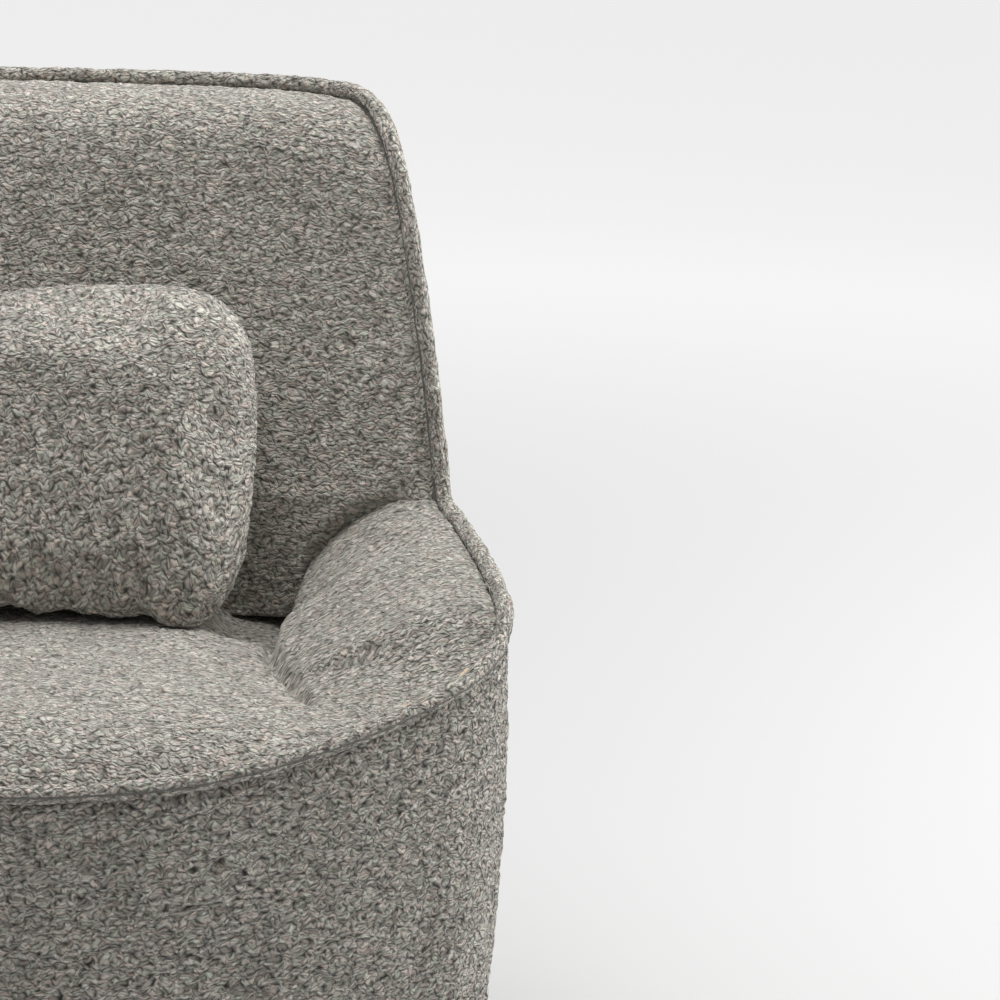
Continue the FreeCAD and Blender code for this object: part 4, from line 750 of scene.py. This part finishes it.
def cushion_ring(depth, inset, corner, steps):
    half = CUSHION_WIDTH / 2 - inset
    points = []
    lower = corner
    for quarter, (sign, bottom) in enumerate(((1, True), (1, False), (-1, False), (-1, True))):
        corner = lower if bottom else lower + 0.006
        middle_x = sign * (half - corner)
        middle_z = inset + corner if bottom else CUSHION_HEIGHT - inset - corner
        for step in range(steps + 1):
            angle = (quarter - 1 + step / steps) * math.pi / 2
            across = middle_x + corner * math.cos(angle)
            points.append((across, depth, middle_z + corner * math.sin(angle)))
    return points


start = bmesh.new()
rings = []
for step in range(-8, 9):
    angle = step / 8 * math.pi / 2
    depth = (CUSHION_THICK / 2 - SWELL_ROOM) * math.sin(angle)
    inset = SWELL_ROOM + CUSHION_ROLL * (1 - math.cos(angle))
    ring = cushion_ring(depth, inset, CUSHION_CORNER, 6)
    rings.append([start.verts.new(point) for point in ring])
for first, second in zip(rings, rings[1:]):
    for number in range(len(first)):
        other = (number + 1) % len(first)
        start.faces.new((first[number], first[other], second[other], second[number]))
start.faces.new(rings[0])
start.faces.new(rings[-1])
bmesh.ops.recalc_face_normals(start, faces=start.faces)
mesh = bpy.data.meshes.new("lumbar_cushion")
start.to_mesh(mesh)
start.free()
cushion = bpy.data.objects.new("lumbar_cushion", mesh)
bpy.context.scene.collection.objects.link(cushion)
bpy.context.view_layer.objects.active = cushion
remesh = cushion.modifiers.new("even", "REMESH")
remesh.mode = "VOXEL"
remesh.voxel_size = 0.0055
bpy.ops.object.modifier_apply(modifier=remesh.name)


def mesh_points(piece):
    flat = np.zeros(len(piece.data.vertices) * 3, np.float32)
    piece.data.vertices.foreach_get("co", flat)
    return flat.reshape(-1, 3).astype(float)


def set_points(piece, points):
    piece.data.vertices.foreach_set("co", np.asarray(points, np.float32).ravel())
    piece.data.update()


before = mesh_points(cushion)
cloth = cushion.modifiers.new("stuffed", "CLOTH")
cloth.settings.use_pressure = True
cloth.settings.uniform_pressure_force = 4
cloth.settings.effector_weights.gravity = 0
cloth.settings.quality = 6
cloth.point_cache.frame_start = 1
cloth.point_cache.frame_end = 20
for number in range(1, 21):
    bpy.context.scene.frame_set(number)
ready = cushion.evaluated_get(bpy.context.evaluated_depsgraph_get())
swollen = np.zeros(len(ready.data.vertices) * 3, np.float32)
ready.data.vertices.foreach_get("co", swollen)
swollen = swollen.reshape(-1, 3).astype(float)
cushion.modifiers.remove(cloth)
bpy.context.scene.frame_set(1)
push = swollen - before
far = np.linalg.norm(push, axis=1, keepdims=True)
set_points(cushion, before + push * np.minimum(1, SWELL_LIMIT / np.maximum(far, 1e-9)))
smooth = cushion.modifiers.new("smooth", "SUBSURF")
smooth.levels = 1
smooth.render_levels = 1
bpy.ops.object.modifier_apply(modifier=smooth.name)
points = mesh_points(cushion)
span = points.max(0) - points.min(0)
size = np.array([CUSHION_WIDTH, CUSHION_THICK, CUSHION_HEIGHT])
points[:, 0] *= size[0] / span[0]
points[:, 1] *= size[1] / span[1]
points[:, 2] = (points[:, 2] - points[:, 2].min()) * size[2] / span[2]
seam = np.exp(-(points[:, 1] / 0.0045) ** 2)
to_side = np.abs(points[:, 0]) / (size[0] / 2)
to_end = np.abs(points[:, 2] / size[2] * 2 - 1)
inwards = -seam * 0.0028 * ease((np.maximum(to_side, to_end) - 0.9) / 0.06)
mesh = cushion.data
normals = np.zeros(len(mesh.vertices) * 3, np.float32)
mesh.vertices.foreach_get("normal", normals)
normals = normals.reshape(-1, 3).astype(float)
wave = 0.0016 * lattice(points[:, 0] / 0.06, points[:, 2] / 0.05 + points[:, 1] / 0.05, 31)
fuzz = pile(points[:, 0] + points[:, 1], points[:, 2] + 0.3 * points[:, 1], 33)
points = points + normals * (inwards + wave + fuzz)[:, None]
flat_map = points.copy()
points[:, 0] *= 0.970 + 0.030 * np.clip(points[:, 2] / 0.20, 0, 1)
lean_y = points[:, 1] * math.cos(LEAN) + points[:, 2] * math.sin(LEAN)
lean_z = -points[:, 1] * math.sin(LEAN) + points[:, 2] * math.cos(LEAN)
lean_y += (low.y + high.y) / 2 - (lean_y.max() + lean_y.min()) / 2
lean_z += low.z - lean_z.min()
in_front = ease((-points[:, 1] - 0.012) / 0.045)
lean_z -= FRONT_SAG * in_front * (1 - ease(points[:, 2] / 0.170))
droop = (SEAT_LEVEL - seat_crown(points[:, 0])) * np.clip(1 - (lean_z - low.z) / 0.16, 0, 1)
lean_z = lean_z - droop
floor_level = seat_crown(points[:, 0]) + 0.0012
lean_z = np.maximum(lean_z, floor_level + 0.23 * fuzz)
tape_low, tape_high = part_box("zip_tape")
from_tape = lean_y - (tape_low.y + tape_high.y) / 2
tape_level = (tape_low.z + tape_high.z) / 2 - math.tan(LEAN) * from_tape + 0.0010
channel = ease((0.018 - np.abs(from_tape)) / 0.008)
channel = channel * ease((0.174 - np.abs(points[:, 0])) / 0.006)
channel = channel * (points[:, 2] < 0.060)
lean_z = lean_z + channel * np.maximum(tape_level - lean_z, 0)
set_points(cushion, np.column_stack([points[:, 0], lean_y, lean_z]))
layer = mesh.uv_layers.new(name="cloth")
corner = np.zeros(len(mesh.loops), np.int32)
mesh.loops.foreach_get("vertex_index", corner)
face_of = np.repeat(np.arange(len(mesh.polygons)), 4)
face_normal = normals[corner].reshape(-1, 4, 3).mean(1)[face_of]
at = flat_map[corner]
uv = np.column_stack([at[:, 0], at[:, 2]])
facing = np.abs(face_normal)
on_side = (facing[:, 0] > facing[:, 1]) & (facing[:, 0] > facing[:, 2])
on_top = (facing[:, 2] > facing[:, 1]) & ~on_side
uv[on_side] = np.column_stack([at[on_side, 1] + 0.5, at[on_side, 2]])
uv[on_top] = np.column_stack([at[on_top, 0], at[on_top, 1] + 0.5])
layer.data.foreach_set("uv", uv.astype(np.float32).ravel())
mesh.shade_smooth()
cushion.data.materials.append(chenille("chenille_cushion", 0.0074, 0.0031, 0.95, 0.0030))
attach(cushion, "cushion")
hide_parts("lumbar_cover", "lumbar_fill")


# Frame and feet. Sawn beech posts, rails and arm frames, plywood boards, dark stained feet on
# plastic glides, zinc plated screws, woven webbing, a black dust cloth and the cushion's zip keep
# the shapes of the construction model and get their own finishes.
def surface_group():
    """Two-tone surface: streaks along one axis, broken by finer spots, and its height."""
    group = bpy.data.node_groups.new("streaked_surface", "ShaderNodeTree")
    make = group.interface.new_socket
    make("Place", in_out="INPUT", socket_type="NodeSocketVector")
    make("Streaks", in_out="INPUT", socket_type="NodeSocketVector")
    make("Spots", in_out="INPUT", socket_type="NodeSocketFloat")
    make("Dark", in_out="INPUT", socket_type="NodeSocketColor")
    make("Pale", in_out="INPUT", socket_type="NodeSocketColor")
    make("Color", in_out="OUTPUT", socket_type="NodeSocketColor")
    make("Height", in_out="OUTPUT", socket_type="NodeSocketFloat")
    nodes, links = group.nodes, group.links
    source = nodes.new("NodeGroupInput")
    sink = nodes.new("NodeGroupOutput")
    stretch = nodes.new("ShaderNodeVectorMath")
    stretch.operation = "MULTIPLY"
    links.new(source.outputs["Place"], stretch.inputs[0])
    links.new(source.outputs["Streaks"], stretch.inputs[1])
    streaks = nodes.new("ShaderNodeTexNoise")
    streaks.inputs["Scale"].default_value = 1
    streaks.inputs["Detail"].default_value = 5
    streaks.inputs["Distortion"].default_value = 0.4
    links.new(stretch.outputs[0], streaks.inputs["Vector"])
    spots = nodes.new("ShaderNodeTexNoise")
    spots.inputs["Detail"].default_value = 3
    links.new(source.outputs["Place"], spots.inputs["Vector"])
    links.new(source.outputs["Spots"], spots.inputs["Scale"])
    both = nodes.new("ShaderNodeMath")
    both.operation = "MULTIPLY_ADD"
    both.inputs[1].default_value = 0.35
    links.new(spots.outputs[0], both.inputs[0])
    links.new(streaks.outputs[0], both.inputs[2])
    share = nodes.new("ShaderNodeMapRange")
    links.new(both.outputs[0], share.inputs[0])
    share.inputs[1].default_value = 0.45
    share.inputs[2].default_value = 0.90
    tone = nodes.new("ShaderNodeMix")
    tone.data_type = "RGBA"
    links.new(share.outputs[0], tone.inputs[0])
    links.new(source.outputs["Dark"], tone.inputs[6])
    links.new(source.outputs["Pale"], tone.inputs[7])
    links.new(tone.outputs[2], sink.inputs["Color"])
    links.new(both.outputs[0], sink.inputs["Height"])
    return group


SURFACE = surface_group()


def streaked(name, streaks, spots, dark, pale, roughness, relief, metallic=0.0):
    material = bpy.data.materials.new(name)
    material.use_nodes = True
    tree = material.node_tree
    shader = tree.nodes["Principled BSDF"]
    place = tree.nodes.new("ShaderNodeTexCoord")
    surface = tree.nodes.new("ShaderNodeGroup")
    surface.node_tree = SURFACE
    surface.inputs["Streaks"].default_value = streaks
    surface.inputs["Spots"].default_value = spots
    surface.inputs["Dark"].default_value = dark + (1,)
    surface.inputs["Pale"].default_value = pale + (1,)
    bump = tree.nodes.new("ShaderNodeBump")
    bump.inputs["Distance"].default_value = relief
    worn = tree.nodes.new("ShaderNodeMapRange")
    worn.inputs[3].default_value = roughness - 0.08
    worn.inputs[4].default_value = roughness + 0.08
    tree.links.new(place.outputs["Object"], surface.inputs["Place"])
    tree.links.new(surface.outputs["Color"], shader.inputs["Base Color"])
    tree.links.new(surface.outputs["Height"], bump.inputs["Height"])
    tree.links.new(surface.outputs["Height"], worn.inputs[0])
    tree.links.new(worn.outputs[0], shader.inputs["Roughness"])
    tree.links.new(bump.outputs[0], shader.inputs["Normal"])
    shader.inputs["Metallic"].default_value = metallic
    return material


BEECH_TONES = ((0.48, 0.31, 0.17), (0.68, 0.49, 0.31))
STAIN_TONES = ((0.050, 0.028, 0.017), (0.125, 0.072, 0.042))
NYLON_TONES = ((0.018, 0.018, 0.019), (0.030, 0.030, 0.031))
ZINC_TONES = ((0.50, 0.50, 0.52), (0.68, 0.68, 0.70))
NICKEL_TONES = ((0.55, 0.54, 0.52), (0.74, 0.72, 0.69))
DUST_TONES = ((0.012, 0.012, 0.013), (0.040, 0.040, 0.042))
TAPE_TONES = ((0.085, 0.080, 0.072), (0.24, 0.23, 0.21))
BEECH = streaked("sawn_beech", (160, 160, 12), 400, *BEECH_TONES, 0.62, 0.0004)
BEECH_ACROSS = streaked("sawn_beech_across", (12, 160, 160), 400, *BEECH_TONES, 0.62, 0.0004)
BOARD = streaked("birch_plywood", (22, 22, 620), 300, (0.44, 0.31, 0.18), (0.74, 0.58, 0.38), 0.6, 0.0003)
STAINED = streaked("stained_beech", (210, 210, 16), 500, *STAIN_TONES, 0.38, 0.0002)
NYLON = streaked("moulded_nylon", (300, 300, 300), 900, *NYLON_TONES, 0.45, 0.0001)
ZINC = streaked("zinc_plate", (500, 500, 60), 900, *ZINC_TONES, 0.32, 0.00005, 1.0)
NICKEL = streaked("nickel_plate", (90, 900, 900), 1500, *NICKEL_TONES, 0.26, 0.00004, 1.0)
WEB = streaked("jute_webbing", (700, 700, 700), 900, (0.17, 0.10, 0.055), (0.42, 0.31, 0.18), 0.9, 0.0008)
DUST = streaked("dust_cloth", (260, 420, 260), 1600, *DUST_TONES, 0.92, 0.0004)
TAPE = streaked("zip_tape", (60, 1400, 500), 1800, *TAPE_TONES, 0.85, 0.0005)
FINISHES = {
    "foot_front_left": STAINED, "foot_front_right": STAINED, "foot_back_left": STAINED,
    "foot_back_right": STAINED, "foot_glides": NYLON, "foot_bolts": ZINC, "foot_nuts": ZINC,
    "frame_screws": ZINC, "base_board": BOARD, "seat_frame": BOARD, "shell_board": BOARD,
    "corner_blocks": BEECH, "front_rail": BEECH_ACROSS, "rear_rail": BEECH_ACROSS,
    "back_lumbar_rail": BEECH_ACROSS, "back_top_rail": BEECH_ACROSS, "seat_webbing_cross": WEB,
    "seat_webbing_long": WEB, "back_webbing": WEB, "dust_cover": DUST, "zip_tape": TAPE,
    "zip_slider": NICKEL,
}
for name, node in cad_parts.items():
    for finish in node.material_slots:
        finish.material = FINISHES.get(name, BEECH)


# Studio: a pale floor that runs out of sight and is lit evenly behind the chair, one large soft
# light overhead, a softer one from the right, and a camera that looks slightly down at the chair.
bpy.ops.mesh.primitive_plane_add(size=60, location=(0, 20, 0))
floor = bpy.context.object
floor.name = "studio_floor"
pale = bpy.data.materials.new("studio_paint")
pale.use_nodes = True
shader = pale.node_tree.nodes["Principled BSDF"]
shader.inputs["Base Color"].default_value = (0.62, 0.62, 0.62, 1)
shader.inputs["Roughness"].default_value = 0.9
shader.inputs["Specular IOR Level"].default_value = 0.1
place = pale.node_tree.nodes.new("ShaderNodeTexCoord")
far = pale.node_tree.nodes.new("ShaderNodeVectorMath")
far.operation = "DISTANCE"
far.inputs[1].default_value = (0, -20, 0)
glow = pale.node_tree.nodes.new("ShaderNodeMapRange")
glow.interpolation_type = "SMOOTHSTEP"
for number, value in ((1, 0.6), (2, 5.0), (3, 0.0), (4, 0.62)):
    glow.inputs[number].default_value = value
rays = pale.node_tree.nodes.new("ShaderNodeLightPath")
seen = pale.node_tree.nodes.new("ShaderNodeMath")
seen.operation = "MULTIPLY"
pale.node_tree.links.new(place.outputs["Object"], far.inputs[0])
pale.node_tree.links.new(far.outputs["Value"], glow.inputs[0])
pale.node_tree.links.new(glow.outputs[0], seen.inputs[0])
pale.node_tree.links.new(rays.outputs["Is Camera Ray"], seen.inputs[1])
pale.node_tree.links.new(seen.outputs[0], shader.inputs["Emission Strength"])
shader.inputs["Emission Color"].default_value = (1, 1, 1, 1)
side = pale.node_tree.nodes.new("ShaderNodeNewGeometry")
clear = pale.node_tree.nodes.new("ShaderNodeBsdfTransparent")
either = pale.node_tree.nodes.new("ShaderNodeMixShader")
pale.node_tree.links.new(side.outputs["Backfacing"], either.inputs[0])
pale.node_tree.links.new(shader.outputs[0], either.inputs[1])
pale.node_tree.links.new(clear.outputs[0], either.inputs[2])
pale.node_tree.links.new(either.outputs[0], pale.node_tree.nodes["Material Output"].inputs["Surface"])
floor.data.materials.append(pale)


def soft_light(name, place, aim, width, height, power):
    data = bpy.data.lights.new(name, "AREA")
    data.shape = "RECTANGLE"
    data.size = width
    data.size_y = height
    data.energy = power
    lamp = bpy.data.objects.new(name, data)
    bpy.context.scene.collection.objects.link(lamp)
    lamp.location = place
    lamp.rotation_mode = "QUATERNION"
    lamp.rotation_quaternion = (Vector(aim) - Vector(place)).to_track_quat("-Z", "Y")
    return lamp


soft_light("overhead", (0.2, 0.1, 3.0), (0, 0, 0.4), 3.0, 3.0, 86)
soft_light("right_side", (3.2, 0.6, 1.3), (0, 0, 0.4), 2.0, 2.2, 80)
world = bpy.data.worlds.new("studio_air")
bpy.context.scene.world = world
world.use_nodes = True
world.node_tree.nodes["Background"].inputs["Color"].default_value = (1, 1, 1, 1)
world.node_tree.nodes["Background"].inputs["Strength"].default_value = 0.36

view = bpy.data.cameras.new("photo_view")
camera = bpy.data.objects.new("photo_view", view)
bpy.context.scene.collection.objects.link(camera)
bpy.context.scene.camera = camera
view.sensor_width = 36
view.lens = 155.83
view.clip_start = 0.1
view.clip_end = 100
camera.location = (0, -3.5, 1.25)
yaw, pitch, roll = (math.radians(angle) for angle in (6.739, 11.676, 1.419))
ahead = Vector((math.sin(yaw) * math.cos(pitch), math.cos(yaw) * math.cos(pitch), -math.sin(pitch)))
right = Vector((math.cos(yaw), -math.sin(yaw), 0))
upward = right.cross(ahead)
turned_right = right * math.cos(roll) + upward * math.sin(roll)
turned_up = upward * math.cos(roll) - right * math.sin(roll)
camera.rotation_mode = "QUATERNION"
axes = [turned_right, turned_up, -ahead]
camera.rotation_quaternion = Matrix(axes).transposed().to_quaternion()

bpy.context.scene.view_settings.view_transform = "Standard"
